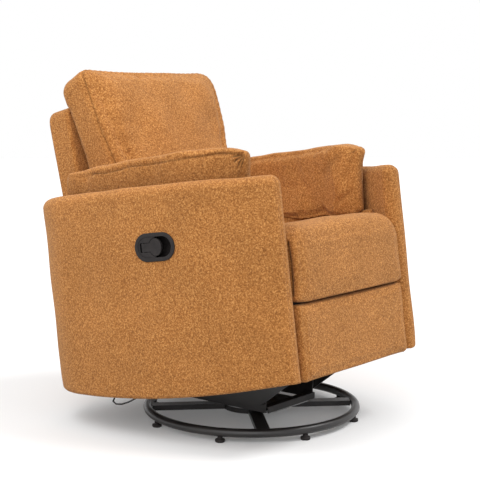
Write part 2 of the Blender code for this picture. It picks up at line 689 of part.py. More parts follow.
def arm_pillow():
    """A long soft pillow along the arm's inner face: crowned sides, ends drawn in."""
    offset = -(ARM_THICKNESS / 2 + 0.002 + PILLOW_THICKNESS / 2)
    px, py, turn, share = arm_stations(15, offset, PILLOW_FRONT, PILLOW_REAR)
    low = DECK_TOP + GAP
    rings = []
    along = np.linspace(-1.0, 1.0, len(px))
    for x, y, heading, t in zip(px, py, turn, along):
        end = (1.0 - abs(t) ** 6) ** 0.5 if abs(t) < 1.0 else 0.0
        blunt = PILLOW_FRONT_END if t < 0.0 else PILLOW_REAR_END
        swell = blunt + (1.0 - blunt) * end
        height = (PILLOW_TOP - low) * (0.90 + 0.10 * end)
        section = soft_section(PILLOW_THICKNESS / 2 * swell, height / 2, 0.030 * swell)
        section[:, 0] *= 1.0 - 0.10 * (section[:, 1] / (height / 2)) ** 2
        rings.append([(x + w * cos(heading), y - w * sin(heading), low + height / 2 + z) for w, z in section])
    return loft(rings)


def handle_frame():
    """Where the pull handle sits: +X to the front along the arm, +Y up, +Z straight out of the arm."""
    px, py, turn, _ = arm_stations(400, ARM_THICKNESS / 2)
    x = float(np.interp(HANDLE_Y, py[:280], px[:280]))
    heading = float(np.interp(HANDLE_Y, py[:280], turn[:280]))
    front, out = (sin(heading), -cos(heading), 0.0), (-cos(heading), -sin(heading), 0.0)
    return Matrix(((front[0], 0.0, out[0], -x), (front[1], 0.0, out[1], HANDLE_Y),
                   (0.0, 1.0, 0.0, HANDLE_Z), (0.0, 0.0, 0.0, 1.0)))


def stadium_rings(steps, straight=CUP_STRAIGHT, sides=8):
    """Closed rings of a stadium outline: (radius, height) for each."""
    rings = []
    turn = np.linspace(-pi / 2, pi / 2, sides)
    for radius, height in steps:
        right = [(straight + radius * cos(t), radius * sin(t)) for t in turn]
        left = [(-a, -b) for a, b in right]
        rings.append([(a, b, height) for a, b in right + left])
    return loft(rings)


def make_handle():
    """The recessed cup in the sitter's right arm, and the paddle on its pin."""
    frame = handle_frame()
    inner = CUP_RADIUS - CUP_WALL
    cup = stadium_rings([(CUP_RADIUS, -CUP_DEPTH), (CUP_RADIUS, GAP), (BEZEL_RADIUS, GAP),
                         (BEZEL_RADIUS, 0.0030), (BEZEL_RADIUS - 0.0015, 0.0045), (inner + 0.002, 0.0045),
                         (inner, 0.0025), (inner, CUP_WALL - CUP_DEPTH)])
    cup.transform(frame)
    add("handle_cup", cup, PLASTIC, "chassis")

    spot = frame @ Vector((PADDLE_HINGE, 0.0, PADDLE_LEVEL))
    joint("pull_paddle", "chassis", (spot.y, spot.z))
    empty, _ = JOINTS["pull_paddle"]
    empty.location.x = spot.x
    JOINTS["pull_paddle"] = (empty, spot)

    reach = PADDLE_HEAD_RADIUS
    neck = acos(PADDLE_STEM / reach)
    sweep = np.linspace(-pi / 2 - neck, pi / 2 + neck, 15)
    head = [(HEAD_SHIFT + reach * cos(t), reach * sin(t)) for t in sweep]
    keyhole = head + [(PADDLE_HINGE, PADDLE_STEM), (PADDLE_HINGE, -PADDLE_STEM)]
    body = plate(keyhole, PADDLE_LEVEL - 0.0005, PADDLE_THICKNESS, "Z")
    body.transform(frame)
    paddle = add("pull_paddle", body, PLASTIC, "pull_paddle")
    hinge = (PADDLE_HINGE, 0.0, PADDLE_LEVEL)
    barrel = turned([(0.0048, -PADDLE_STEM), (0.0048, PADDLE_STEM)], hinge, "Y", 12)
    barrel.transform(frame)
    boolean(paddle, barrel, "pull_paddle", "UNION")
    tip = HEAD_SHIFT + reach
    lip = box(tip - 0.006, tip - 0.002, -0.012, 0.012, PADDLE_LEVEL - 0.009, PADDLE_LEVEL + 0.002)
    lip.transform(frame)
    boolean(paddle, lip, "pull_paddle", "UNION")
    bore = turned([(0.0023, -0.03), (0.0023, 0.03)], hinge, "Y", 10)
    bore.transform(frame)
    boolean(paddle, bore, "pull_paddle")

    gap_half = (inner ** 2 - (-PADDLE_HINGE - CUP_STRAIGHT) ** 2) ** 0.5 - 0.0024
    pin = turned([(0.0019, -gap_half), (0.0019, gap_half)], hinge, "Y", 10)
    pin.transform(frame)
    add("paddle_pin", pin, ZINC_STEEL, "chassis")


def smooth_route(points, count):
    """Points along a smooth curve through chosen ones: a Catmull-Rom curve, read at even distances."""
    p = np.array(points, float)
    p = np.vstack([2 * p[0] - p[1], p, 2 * p[-1] - p[-2]])
    fine = []
    for a, b, c, d in zip(p, p[1:], p[2:], p[3:]):
        t = np.linspace(0.0, 1.0, 40, endpoint=False)[:, None]
        fine.append(0.5 * (2 * b + (c - a) * t + (2 * a - 5 * b + 4 * c - d) * t ** 2
                           + (3 * b - a - 3 * c + d) * t ** 3))
    fine = np.vstack([*fine, p[-2]])
    passed = np.append(0.0, np.cumsum(np.linalg.norm(np.diff(fine, axis=0), axis=1)))
    at = np.linspace(0.0, passed[-1], count)
    return np.stack([np.interp(at, passed, fine[:, i]) for i in range(3)], axis=1)


def make_cable():
    """The release cable, from the back of the cup to the lever bracket, with its slack loop below."""
    frame = handle_frame()
    start = frame @ Vector((0.0, 0.0, -CUP_DEPTH - GAP))
    leave = [frame @ Vector((0.0, 0.0, -CUP_DEPTH - 0.027)), frame @ Vector((-0.003, -0.024, -0.076))]
    inside = [(0.0595, -0.055, 0.440), (0.0615, 0.000, 0.330), (0.0655, 0.060, 0.220),
              (0.0675, 0.082, 0.155), (0.0775, 0.094, 0.126), (0.0975, 0.108, 0.113),
              (0.1115, 0.128, 0.1055), (0.1150, 0.150, 0.1035), (0.1105, 0.171, 0.108),
              (0.0955, 0.183, 0.117), (0.0675, 0.178, 0.127), (0.0365, 0.145, 0.132)]
    across = [(0.0745, 0.070, 0.132), (0.0275, -0.040, 0.126), (0.0055, -0.140, 0.117),
              (0.0005, -0.196, 0.113), (0.0, -0.216, 0.122), (0.0, CABLE_Y, 0.142),
              (0.0, CABLE_Y, EAR_Z - GAP)]
    route = ([start, *leave] + [(-NOSE_X - x, y, z) for x, y, z in inside]
             + [(CABLE_X - x, y, z) for x, y, z in across])
    curve = bpy.data.curves.new("release_cable", "CURVE")
    curve.dimensions = "3D"
    curve.bevel_depth = 0.0024
    curve.bevel_resolution = 2
    curve.use_fill_caps = True
    points = smooth_route(route, 52)
    spline = curve.splines.new("POLY")
    spline.points.add(len(points) - 1)
    pivot = np.array(JOINTS["chassis"][1])
    for point, at in zip(spline.points, points - pivot):
        point.co = (*at, 1.0)
    curve.materials.append(CASING)
    cable = bpy.data.objects.new("release_cable", curve)
    cable.parent = JOINTS["chassis"][0]
    bpy.context.scene.collection.objects.link(cable)


def make_rear_panel():
    """The padded low panel that closes the chair's back between the two arms."""
    bottom = CROSS_TUBE_TOP + 0.006
    outline = rounded(-REAR_PANEL_HALF, REAR_PANEL_HALF, bottom, REAR_PANEL_TOP, 0.012, 3)
    panel = add("rear_panel", plate(outline, REAR_PANEL_Y, REAR_PANEL_THICKNESS, "Y"), FABRIC, "chassis")
    bevel(panel, 0.006, 2)


def make_seat():
    """Swing links, seat frame, springs, cushion, and the steel plates that carry the mechanism."""
    shift, rise = SWING_LENGTH * sin(SWING_ANGLE), SWING_LENGTH * cos(SWING_ANGLE)
    for name, y in (("swing_links_front", SWING_FRONT_Y), ("swing_links_rear", SWING_REAR_Y)):
        joint(name, "chassis", (y, SWING_PIVOT_Z))
        upper = (y + shift, SWING_PIVOT_Z + rise)
        end = SWING_LINK_X + SHEET / 2
        tie_y, tie_z = y + SWING_TIE * sin(SWING_ANGLE), SWING_PIVOT_Z + SWING_TIE * cos(SWING_ANGLE)
        tie = turned([(0.005, -end), (0.005, end)], (0.0, tie_y, tie_z), "X", 12)
        links = add(name, tie, ZINC_STEEL, name)
        holes = [(y, SWING_PIVOT_Z, GLIDE_PIN_RADIUS + PIN_ROOM), (*upper, GLIDE_PIN_RADIUS + PIN_ROOM)]
        outline = hull((y, SWING_PIVOT_Z, SWING_LINK_RADIUS), (*upper, SWING_LINK_RADIUS))
        bar = plate(outline, SWING_LINK_X, SHEET, "X", holes)
        boolean(links, both(bar), name, "UNION")
    uppers = [(y + shift, SWING_PIVOT_Z + rise) for y in (SWING_FRONT_Y, SWING_REAR_Y)]
    joint("seat", "swing_links_front", uppers[0])

    inside = SEAT_HALF - SEAT_RAIL
    outer = rectangle(-SEAT_HALF, SEAT_HALF, SEAT_FRAME_FRONT, SEAT_FRAME_REAR)
    inner = rectangle(-inside, inside, SEAT_FRAME_FRONT + SEAT_RAIL, SEAT_FRAME_REAR - SEAT_RAIL)
    low, high = SEAT_FRAME_BOTTOM, SEAT_FRAME_TOP
    rings = [[(x, y, z) for x, y in loop]
             for z, loop in ((low, outer), (high, outer), (high, inner), (low, inner))]
    add("seat_frame", loft(rings, wrap=True), WOOD, "seat")
    make_springs()
    add("seat_cushion", seat_cushion(), FABRIC, "seat", 60.0)

    rod = (TONG_Y + ROD_SETBACK, TONG_Z + ROD_RISE)
    outline = hull((TONG_Y, TONG_Z, 0.014), (*uppers[1], 0.014), (HINGE_Y, HINGE_Z, 0.016),
                   (TONG_Y - 0.006, SEAT_FRAME_TOP - 0.02, 0.012))
    holes = [(*rod, ROD_RADIUS + 0.0014)]
    holes += [(y, 0.328, 0.026) for y in (-0.225, -0.070, 0.030, 0.130)]
    for side, word in SIDES:
        made = add(f"seat_plate_{word}", mirrored(plate(outline, SEAT_PLATE_X, SHEET, "X", holes), side),
                   BLACK_STEEL, "seat")
        middle = SEAT_PLATE_X + SHEET / 2
        for spot in [*uppers, (HINGE_Y, HINGE_Z)]:
            pin = shoulder_pin(spot, middle, SWING_LINK_X, SWING_LINK_X + SHEET)
            boolean(made, mirrored(pin, side), "seat", "UNION")
        pin = shoulder_pin((TONG_Y, TONG_Z), middle, OUTER_LAYER + SHEET, INNER_LAYER, TONG_PIN_RADIUS)
        boolean(made, mirrored(pin, side), "seat", "UNION")


def make_springs():
    """Sinuous seat springs: wires that weave from the front rail to the rear, tied across by one wire."""
    wires = []
    height = SEAT_FRAME_TOP + GAP + SPRING_WIRE
    span = SEAT_FRAME_REAR - SEAT_FRAME_FRONT - SEAT_RAIL
    for i in range(SPRING_COUNT):
        middle = (i - (SPRING_COUNT - 1) / 2) * SPRING_SPACING
        t = np.linspace(0.0, SPRING_WAVES, SPRING_WAVES * 6 + 1)
        x = middle + SPRING_SWING * np.sin(2 * pi * t)
        y = SEAT_FRAME_FRONT + SEAT_RAIL / 2 + span * t / SPRING_WAVES - SPRING_BULGE * np.sin(4 * pi * t)
        wires.append(wire_mesh(np.stack([x, y, np.full_like(t, height)], axis=1), SPRING_WIRE))
    springs = add("seat_springs", merged(*wires), ZINC_STEEL, "seat")
    reach = (SPRING_COUNT - 1) / 2 * SPRING_SPACING + 0.012
    middle = (SEAT_FRAME_FRONT + SEAT_FRAME_REAR) / 2
    tie = turned([(SPRING_WIRE * 0.8, -reach), (SPRING_WIRE * 0.8, reach)], (0.0, middle, height), "X", 6)
    boolean(springs, tie, "seat", "UNION")


def wire_mesh(points, radius, sides=4):
    """A tube of constant radius along points that lie level."""
    ahead = np.gradient(points, axis=0)
    ahead /= np.linalg.norm(ahead, axis=1, keepdims=True)
    across = np.stack([ahead[:, 1], -ahead[:, 0], np.zeros(len(points))], axis=1)
    up = np.array([0.0, 0.0, 1.0])
    turn = [2 * pi * i / sides for i in range(sides)]
    rings = [[p + radius * (cos(t) * a + sin(t) * up) for t in turn] for p, a in zip(points, across)]
    return loft(rings)


def across_cushion(profile, half, edge, drawn, stations=13, round_steps=3):
    """A soft block: a side profile (y, z) carried across X, drawn in over the edge width at its two sides."""
    profile = np.array(profile, float)
    ahead = np.roll(profile, -1, axis=0) - np.roll(profile, 1, axis=0)
    ahead /= np.linalg.norm(ahead, axis=1, keepdims=True)
    inward = np.stack([-ahead[:, 1], ahead[:, 0]], axis=1)
    rings = []
    for k in range(round_steps, -1, -1):
        angle = radians(85.0) * k / round_steps
        rings.append((-half + edge * (1 - sin(angle)), drawn * (1 - cos(angle))))
    middle = np.linspace(-half + edge, half - edge, stations)[1:-1]
    rings += [(x, 0.0) for x in middle]
    rings += [(-x, inset) for x, inset in rings[:round_steps + 1][::-1]]
    return [(x, profile + inset * inward) for x, inset in rings]


def outline_steps(corners, steps):
    """A closed outline through (y, z, radius) corners, counter-clockwise, each rounded."""
    points = []
    count = len(corners)
    for i, (y, z, radius) in enumerate(corners):
        before, after = corners[i - 1], corners[(i + 1) % count]
        here = np.array([y, z])
        back = np.array(before[:2]) - here
        ahead = np.array(after[:2]) - here
        back, ahead = back / np.linalg.norm(back), ahead / np.linalg.norm(ahead)
        for t in np.linspace(0.0, 1.0, steps):
            start, end = here + back * radius, here + ahead * radius
            points.append((1 - t) ** 2 * start + 2 * t * (1 - t) * here + t ** 2 * end)
    return points


def seat_cushion():
    """Crowned seat cushion with a front border that drops over the front rail."""
    base = SEAT_FRAME_TOP + 2 * SPRING_WIRE + 3 * GAP
    lip_rear = SEAT_FRAME_FRONT - GAP
    corners = [(SEAT_CUSHION_REAR, base, 0.014), (SEAT_CUSHION_REAR, SEAT_CUSHION_TOP - 0.006, 0.030),
               (-0.10, SEAT_CUSHION_TOP + 0.002, 0.100), (SEAT_CUSHION_FRONT, SEAT_CUSHION_TOP, 0.034),
               (SEAT_CUSHION_FRONT - 0.003, (SEAT_CUSHION_TOP + SEAT_CUSHION_LIP) / 2, 0.050),
               (SEAT_CUSHION_FRONT + 0.002, SEAT_CUSHION_LIP, 0.014), (lip_rear, SEAT_CUSHION_LIP, 0.014),
               (lip_rear, base, 0.002)]
    profile = outline_steps(corners, 5)
    rings = []
    for x, section in across_cushion(profile, SEAT_CUSHION_HALF, 0.022, 0.009):
        crown = SEAT_CUSHION_CROWN * (1.0 - (x / SEAT_CUSHION_HALF) ** 2)
        lift = np.clip((section[:, 1] - base) / (SEAT_CUSHION_TOP - base), 0.0, 1.0)
        out = np.clip((-0.30 - section[:, 0]) / 0.12, 0.0, 1.0) * 0.004 * (1.0 - (x / SEAT_CUSHION_HALF) ** 2)
        rings.append([(x, y - o, z + crown * a) for (y, z), a, o in zip(section, lift, out)])
    return loft(rings)


def tong_points():
    """The folded pivots of one pair of tongs, as (y, z): A to D, then the second crossing."""
    def ahead(distance, angle):
        return np.array([-distance * cos(angle), distance * sin(angle)])

    up, down = TONG_AXIS + TONG_FOLDED, TONG_AXIS - TONG_FOLDED
    a = np.array([TONG_Y, TONG_Z])
    b, d = a + ahead(TONG_HALF, up), a + ahead(TONG_HALF, down)
    c = b + ahead(TONG_HALF, down)
    b2, d2 = d + ahead(2 * TONG_HALF, up), b + ahead(2 * TONG_HALF, down)
    c2 = b2 + ahead(TONG_HALF, down)
    return {"A": tuple(a), "B": tuple(b), "C": tuple(c), "D": tuple(d), "B2": tuple(b2), "D2": tuple(d2),
            "C2": tuple(c2)}


def tong_pin(spot, layer):
    """A rivet fixed in one layer of bars, with its head beyond the bar that turns on it."""
    if layer == OUTER_LAYER:
        end = INNER_LAYER - GAP - TONG_HEAD
    else:
        end = OUTER_LAYER + SHEET + GAP + TONG_HEAD
    return stud(*spot, layer + SHEET / 2, end, TONG_PIN_RADIUS, TONG_HEAD_RADIUS, TONG_HEAD)


def driven_pin(spot):
    """A rivet from the outer layer of bars out through the drive link."""
    return stud(*spot, OUTER_LAYER + SHEET / 2, DRIVE_LAYER + SHEET + GAP + TONG_HEAD, TONG_PIN_RADIUS,
                TONG_HEAD_RADIUS, TONG_HEAD)


def tong_bar(name, circles, layer, holes, pins):
    """A left and a right bar on one joint: holes where other bars' rivets turn, pins fixed in it."""
    body = f"{name}s"
    for side, word in SIDES:
        bm = plate(hull(*circles), layer, SHEET, "X", [(*spot, TONG_PIN_RADIUS + PIN_ROOM) for spot in holes])
        bar = add(f"{name}_{word}", mirrored(bm, side), ZINC_STEEL, body)
        for pin in pins:
            boolean(bar, mirrored(pin(), side), body, "UNION")


def make_footrest():
    """Crossed bars on both sides, the board and pad they carry, and the rod that drives them."""
    at = tong_points()
    half = TONG_WIDTH / 2
    rod = (TONG_Y + ROD_SETBACK, TONG_Z + ROD_RISE)
    ear_angle = TONG_AXIS + TONG_FOLDED + DRIVE_OFFSET
    ear = (TONG_Y - DRIVE_ARM * cos(ear_angle), TONG_Z + DRIVE_ARM * sin(ear_angle))
    crank = (ear[0] + ROD_SETBACK, ear[1] + ROD_RISE)
    joint("tong_drive_arms", "seat", at["A"])
    joint("tong_lower_arms", "seat", at["A"])
    joint("tong_inner_bars", "tong_drive_arms", at["B"])
    joint("tong_outer_bars", "tong_lower_arms", at["D"])
    joint("tong_end_arms", "tong_inner_bars", at["D2"])
    joint("footrest", "tong_outer_bars", at["B2"])

    def fixed(name, layer):
        return lambda: tong_pin(at[name], layer)

    tong_bar("tong_drive_arm", [(*at["A"], half + 0.002), (*at["B"], half), (*ear, half)], OUTER_LAYER,
             [at["A"]], [fixed("B", OUTER_LAYER), lambda: driven_pin(ear)])
    tong_bar("tong_lower_arm", [(*at["A"], half), (*at["D"], half)], INNER_LAYER,
             [at["A"]], [fixed("D", INNER_LAYER)])
    tong_bar("tong_inner_bar", [(*at["B"], half), (*at["D2"], half)], INNER_LAYER,
             [at["B"]], [fixed("C", INNER_LAYER), fixed("D2", INNER_LAYER)])
    tong_bar("tong_outer_bar", [(*at["D"], half), (*at["B2"], half)], OUTER_LAYER,
             [at["D"], at["C"]], [fixed("B2", OUTER_LAYER)])
    tong_bar("tong_end_arm", [(*at["D2"], half), (*at["C2"], half)], OUTER_LAYER,
             [at["D2"]], [fixed("C2", OUTER_LAYER)])

    board_rear = PAD_FRONT + PAD_THICKNESS + GAP + BOARD_THICKNESS
    rear_y = board_rear + GAP
    outline = hull((*at["B2"], half), (*at["C2"], half), (rear_y + half, BOARD_BOTTOM + 0.034, half),
                   (rear_y + half, BOARD_TOP - 0.010, half))
    room = TONG_PIN_RADIUS + PIN_ROOM
    cheek = plate(outline, INNER_LAYER, SHEET, "X", [(*at["B2"], room), (*at["C2"], room)])
    reach, start = INNER_LAYER + SHEET / 2, rear_y + 0.0005
    stretcher = box(-reach, reach, start, start + SHEET, BOARD_BOTTOM + 0.032, BOARD_BOTTOM + 0.062)
    bracket = add("footrest_bracket", stretcher, BLACK_STEEL, "footrest")
    boolean(bracket, both(cheek), "footrest", "UNION")
    board = rounded(-BOARD_HALF, BOARD_HALF, BOARD_BOTTOM, BOARD_TOP, 0.015, 3)
    add("footrest_board", plate(board, board_rear - BOARD_THICKNESS, BOARD_THICKNESS, "Y"), WOOD, "footrest")
    add("footrest_pad", footrest_pad(board_rear - BOARD_THICKNESS - GAP), FABRIC, "footrest", 60.0)

    joint("torque_rod", "seat", rod)
    end = SEAT_PLATE_X + SHEET + 0.0006
    bar = turned([(ROD_RADIUS, -end), (ROD_RADIUS, end)], (0.0, *rod), "X", 14)
    shaft = add("torque_rod", bar, ZINC_STEEL, "torque_rod")
    arm = plate(hull((*rod, half + 0.006), (*crank, half)), OUTER_LAYER, SHEET, "X")
    boolean(shaft, both(arm), "torque_rod", "UNION")
    boolean(shaft, both(driven_pin(crank)), "torque_rod", "UNION")
    lug = hull((*rod, ROD_RADIUS + 0.004), (rod[0] + LUG_REACH, rod[1], 0.006))
    boolean(shaft, plate(lug, LEVER_X, LEVER_THICKNESS), "torque_rod", "UNION")

    joint("drive_links", "torque_rod", crank)
    tong_bar("drive_link", [(*ear, half), (*crank, half)], DRIVE_LAYER, [ear, crank], [])


def footrest_pad(rear):
    """The padded face of the footrest: crowned, with drawn-in side edges."""
    corners = [(rear, PAD_BOTTOM + 0.006, 0.010), (rear, PAD_TOP - 0.004, 0.010), (PAD_FRONT, PAD_TOP, 0.016),
               (PAD_FRONT - 0.003, (PAD_TOP + PAD_BOTTOM) / 2, 0.050), (PAD_FRONT, PAD_BOTTOM, 0.016)]
    rings = []
    for x, section in across_cushion(outline_steps(corners, 5), PAD_HALF, 0.014, 0.006, 11):
        share = 1.0 - (x / PAD_HALF) ** 2
        front = np.clip((rear - section[:, 0]) / PAD_THICKNESS, 0.0, 1.0)
        rings.append([(x, y - 0.004 * share * f, z) for (y, z), f in zip(section, front)])
    return loft(rings)


def make_lever():
    """The lever that the cable turns up against the torque rod's lug, and its bracket on the front tube."""
    bracket_x = LEVER_X - GAP - SHEET
    base = BRACKET_Z
    outline = hull((LEVER_Y, LEVER_Z, 0.011), (FRONT_TUBE_Y - 0.006, base + 0.006, 0.006),
                   (CABLE_Y + 0.012, base + 0.010, 0.006), count=24)
    bracket = add("lever_bracket", plate(outline, bracket_x, SHEET), BLACK_STEEL, "chassis")
    ear = plate(rounded(bracket_x + SHEET / 2, CABLE_X + 0.006, CABLE_Y - 0.008, CABLE_Y + 0.008, 0.003, 2),
                EAR_Z, SHEET, "Z", [(CABLE_X, CABLE_Y, 0.0017)])
    boolean(bracket, ear, "chassis", "UNION")
    foot = box(bracket_x - 0.010, bracket_x + SHEET / 2, FRONT_TUBE_Y - 0.011, FRONT_TUBE_Y + 0.011,
               base + 0.0004, base + 0.0004 + SHEET)
    boolean(bracket, foot, "chassis", "UNION")
    pin = stud(LEVER_Y, LEVER_Z, bracket_x + SHEET / 2, LEVER_X + LEVER_THICKNESS + GAP + TONG_HEAD,
               TONG_PIN_RADIUS, TONG_HEAD_RADIUS, TONG_HEAD)
    boolean(bracket, pin, "chassis", "UNION")

    joint("release_lever", "chassis", (LEVER_Y, LEVER_Z))
    nose = (LEVER_Y + LEVER_REACH * cos(LEVER_REST), LEVER_Z + LEVER_REACH * sin(LEVER_REST), 0.005)
    outline = hull((LEVER_Y, LEVER_Z, 0.009), nose)
    hole = [(LEVER_Y, LEVER_Z, TONG_PIN_RADIUS + PIN_ROOM)]
    blade = plate(outline, LEVER_X, LEVER_THICKNESS, "X", hole)
    lever = add("release_lever", blade, ZINC_STEEL, "release_lever")
    arm = hull((LEVER_Y - 0.0098, LEVER_Z - 0.001, 0.0048), (CABLE_Y, LEVER_Z - 0.005, 0.0045))
    boolean(lever, plate(arm, LEVER_X, LEVER_THICKNESS), "release_lever", "UNION")


def lean_back(bm):
    """Tips a piece that is drawn upright to the slope of the chair's back."""
    pivot = Vector((0.0, BACK_MIDDLE_Y, BACK_MIDDLE_Z))
    turn = Matrix.Translation(pivot) @ Matrix.Rotation(-BACK_LEAN, 4, "X") @ Matrix.Translation(-pivot)
    bm.transform(turn)
    return bm


def make_back():
    """Padded back over a plywood frame, its cushion, and the plates that hinge it to the seat."""
    joint("back", "seat", (HINGE_Y, HINGE_Z))
    front = BACK_MIDDLE_Y - BACK_THICKNESS / 2
    outline = rounded(-BACK_HALF, BACK_HALF, BACK_BOTTOM, BACK_TOP, 0.034, 5)
    shell = add("back_shell", lean_back(plate(outline, front, BACK_THICKNESS, "Y")), FABRIC, "back", 50.0)
    bevel(shell, 0.020, 3)
    frame_top = BACK_TOP - 0.06
    frame_bottom = BACK_BOTTOM + 0.004
    middle = BACK_MIDDLE_Y - BACK_FRAME_THICKNESS / 2
    side = SWING_LINK_X + SHEET + GAP
    pocket = box(-side, side, middle - GAP, middle + BACK_FRAME_THICKNESS + GAP, BACK_BOTTOM - 0.05,
                 frame_top + GAP)
    boolean(shell, lean_back(pocket), "back")
    notch = box(SWING_LINK_X - 0.004, side, front - 0.02, middle + 0.005,
                BACK_BOTTOM - 0.05, BACK_BOTTOM + 0.20)
    boolean(shell, lean_back(both(notch)), "back")

    inside = BACK_FRAME_HALF - 0.05
    window = rounded(-inside, inside, frame_bottom + 0.06, frame_top - 0.06, 0.02, 3)
    outer = rounded(-BACK_FRAME_HALF, BACK_FRAME_HALF, frame_bottom, frame_top, 0.02, 3)
    rear = middle + BACK_FRAME_THICKNESS
    rings = [[(x, y, z) for x, z in loop]
             for y, loop in ((middle, outer), (rear, outer), (rear, window), (middle, window))]
    add("back_frame", lean_back(loft(rings, wrap=True)), WOOD, "back")

    def on_frame(z):
        return BACK_MIDDLE_Y + (z - BACK_MIDDLE_Z) * sin(BACK_LEAN) / cos(BACK_LEAN)

    low, high = HINGE_Z - 0.035, HINGE_Z + 0.070
    outline = hull((HINGE_Y, HINGE_Z, 0.016), (on_frame(low), low, 0.010), (on_frame(high), high, 0.010))
    for side, word in SIDES:
        hole = [(HINGE_Y, HINGE_Z, GLIDE_PIN_RADIUS + PIN_ROOM)]
        hinge = plate(outline, SWING_LINK_X, SHEET, "X", hole)
        add(f"back_hinge_plate_{word}", mirrored(hinge, side), BLACK_STEEL, "back")
    add("back_cushion", back_cushion(), FABRIC, "back", 60.0)


def back_cushion():
    """Wedge-shaped loose cushion: full at the lumbar, thin at the top, narrower where it meets the seat."""
    def rest(z):
        return (BACK_MIDDLE_Y - BACK_THICKNESS / 2 / cos(BACK_LEAN) - 2 * GAP
                + (z - BACK_MIDDLE_Z) * sin(BACK_LEAN) / cos(BACK_LEAN))

    shelf = BACK_TOP - 0.020
    corners = [(rest(BACK_CUSHION_BOTTOM), BACK_CUSHION_BOTTOM, 0.026),
               (rest(shelf), shelf, 0.012), (rest(shelf) + 0.006, BACK_CUSHION_TOP - 0.012, 0.040),
               (0.262, BACK_CUSHION_TOP, 0.045), (0.196, 0.800, 0.120),
               (0.118, BACK_CUSHION_BOTTOM + 0.002, 0.040)]
    rings = []
    for x, section in across_cushion(outline_steps(corners, 5), BACK_CUSHION_HALF, 0.035, 0.016):
        share = 1.0 - (x / BACK_CUSHION_HALF) ** 2
        ring = []
        for y, z in section:
            narrow = 1.0 - 0.075 * (0.5 - 0.5 * cos(pi * min(max((0.66 - z) / 0.08, 0.0), 1.0)))
            full = min(max((rest(z) - y) / 0.10, 0.0), 1.0)
            rise = min(max((z - 0.95) / 0.10, 0.0), 1.0)
            ring.append((x * narrow, y - 0.014 * share * full, z + 0.006 * share * rise))
        rings.append(ring)
    return loft(rings)


def build():
    arms_z, plate_z = make_base()
    make_swivel(arms_z, plate_z)
    make_glide_links()
    make_chassis()
    make_arms()
    make_handle()
    make_cable()
    make_rear_panel()
    make_seat()
    make_footrest()
    make_lever()
    make_back()


build()
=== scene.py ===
"""Swivel glider recliner, dressed: bouclé upholstery, black swivel base and the steel mechanism.

Metres, in the frame of the CAD model: floor at z = 0, the sitter faces -Y. Everything above the glide
links leans back by 7.7 degrees, so those pieces are drawn upright and tipped by lean() at the end.
"""

from math import cos, pi, radians, sin

import bpy
import numpy as np
from mathutils import Matrix, Vector


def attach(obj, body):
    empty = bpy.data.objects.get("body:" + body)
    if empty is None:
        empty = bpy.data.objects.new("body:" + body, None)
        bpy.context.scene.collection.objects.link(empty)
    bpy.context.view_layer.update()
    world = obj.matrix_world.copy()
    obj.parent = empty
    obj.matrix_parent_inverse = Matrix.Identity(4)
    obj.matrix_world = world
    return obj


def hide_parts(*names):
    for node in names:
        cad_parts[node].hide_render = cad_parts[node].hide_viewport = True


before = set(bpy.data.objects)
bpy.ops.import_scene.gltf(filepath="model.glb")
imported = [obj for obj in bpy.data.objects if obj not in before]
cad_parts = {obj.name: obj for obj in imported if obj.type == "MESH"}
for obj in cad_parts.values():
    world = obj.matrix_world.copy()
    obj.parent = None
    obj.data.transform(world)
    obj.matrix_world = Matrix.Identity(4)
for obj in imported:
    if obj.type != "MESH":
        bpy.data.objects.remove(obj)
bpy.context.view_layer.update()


# Studio: a pale floor that carries the chair's shadow, an even white sky, two broad far lamps and a square
# one above the near arm. The camera looks past that arm from the front, a little below the back's top.
WHITE = (1.0, 1.0, 1.0, 1.0)
SKY_LIGHT = 0.95
FLOOR_RADIUS, FLOOR_SEEN, FLOOR_BOUNCE, FLOOR_GLOW = 14.0, 0.78, 0.40, 0.10


def put(name, data):
    """A new object in the scene that shows data."""
    made = bpy.data.objects.new(name, data)
    bpy.context.scene.collection.objects.link(made)
    return made


def set_inputs(tree, made, inputs):
    """Gives each input of a node that is named a value, or another node's output."""
    for key, value in inputs.items():
        if isinstance(value, bpy.types.NodeSocket):
            tree.links.new(value, made.inputs[key])
        else:
            made.inputs[key].default_value = value


def node(tree, kind, inputs=None, **settings):
    """A shader node with its settings and inputs."""
    made = tree.nodes.new(kind)
    for key, value in settings.items():
        setattr(made, key, value)
    set_inputs(tree, made, inputs or {})
    return made


def maths(tree, operation, *values, kind="ShaderNodeMath", **settings):
    """Result of a maths node on its values, each a number or an output."""
    return node(tree, kind, dict(enumerate(values)), operation=operation, **settings).outputs[0]


def seen_directly(tree, share):
    """share where a camera, glossy or transmission ray looks, and nothing for the light on the chair."""
    path = node(tree, "ShaderNodeLightPath")
    looks = maths(tree, "ADD", path.outputs["Is Camera Ray"], path.outputs["Is Glossy Ray"])
    looks = maths(tree, "ADD", looks, path.outputs["Is Transmission Ray"], use_clamp=True)
    return maths(tree, "MULTIPLY", looks, share)


sky = bpy.data.worlds.new("studio_sky")
bpy.context.scene.world = sky
sky.use_nodes = True
tree = sky.node_tree
strength = maths(tree, "ADD", seen_directly(tree, 1.0 - SKY_LIGHT), SKY_LIGHT)
set_inputs(tree, tree.nodes["Background"], {"Color": WHITE, "Strength": strength})

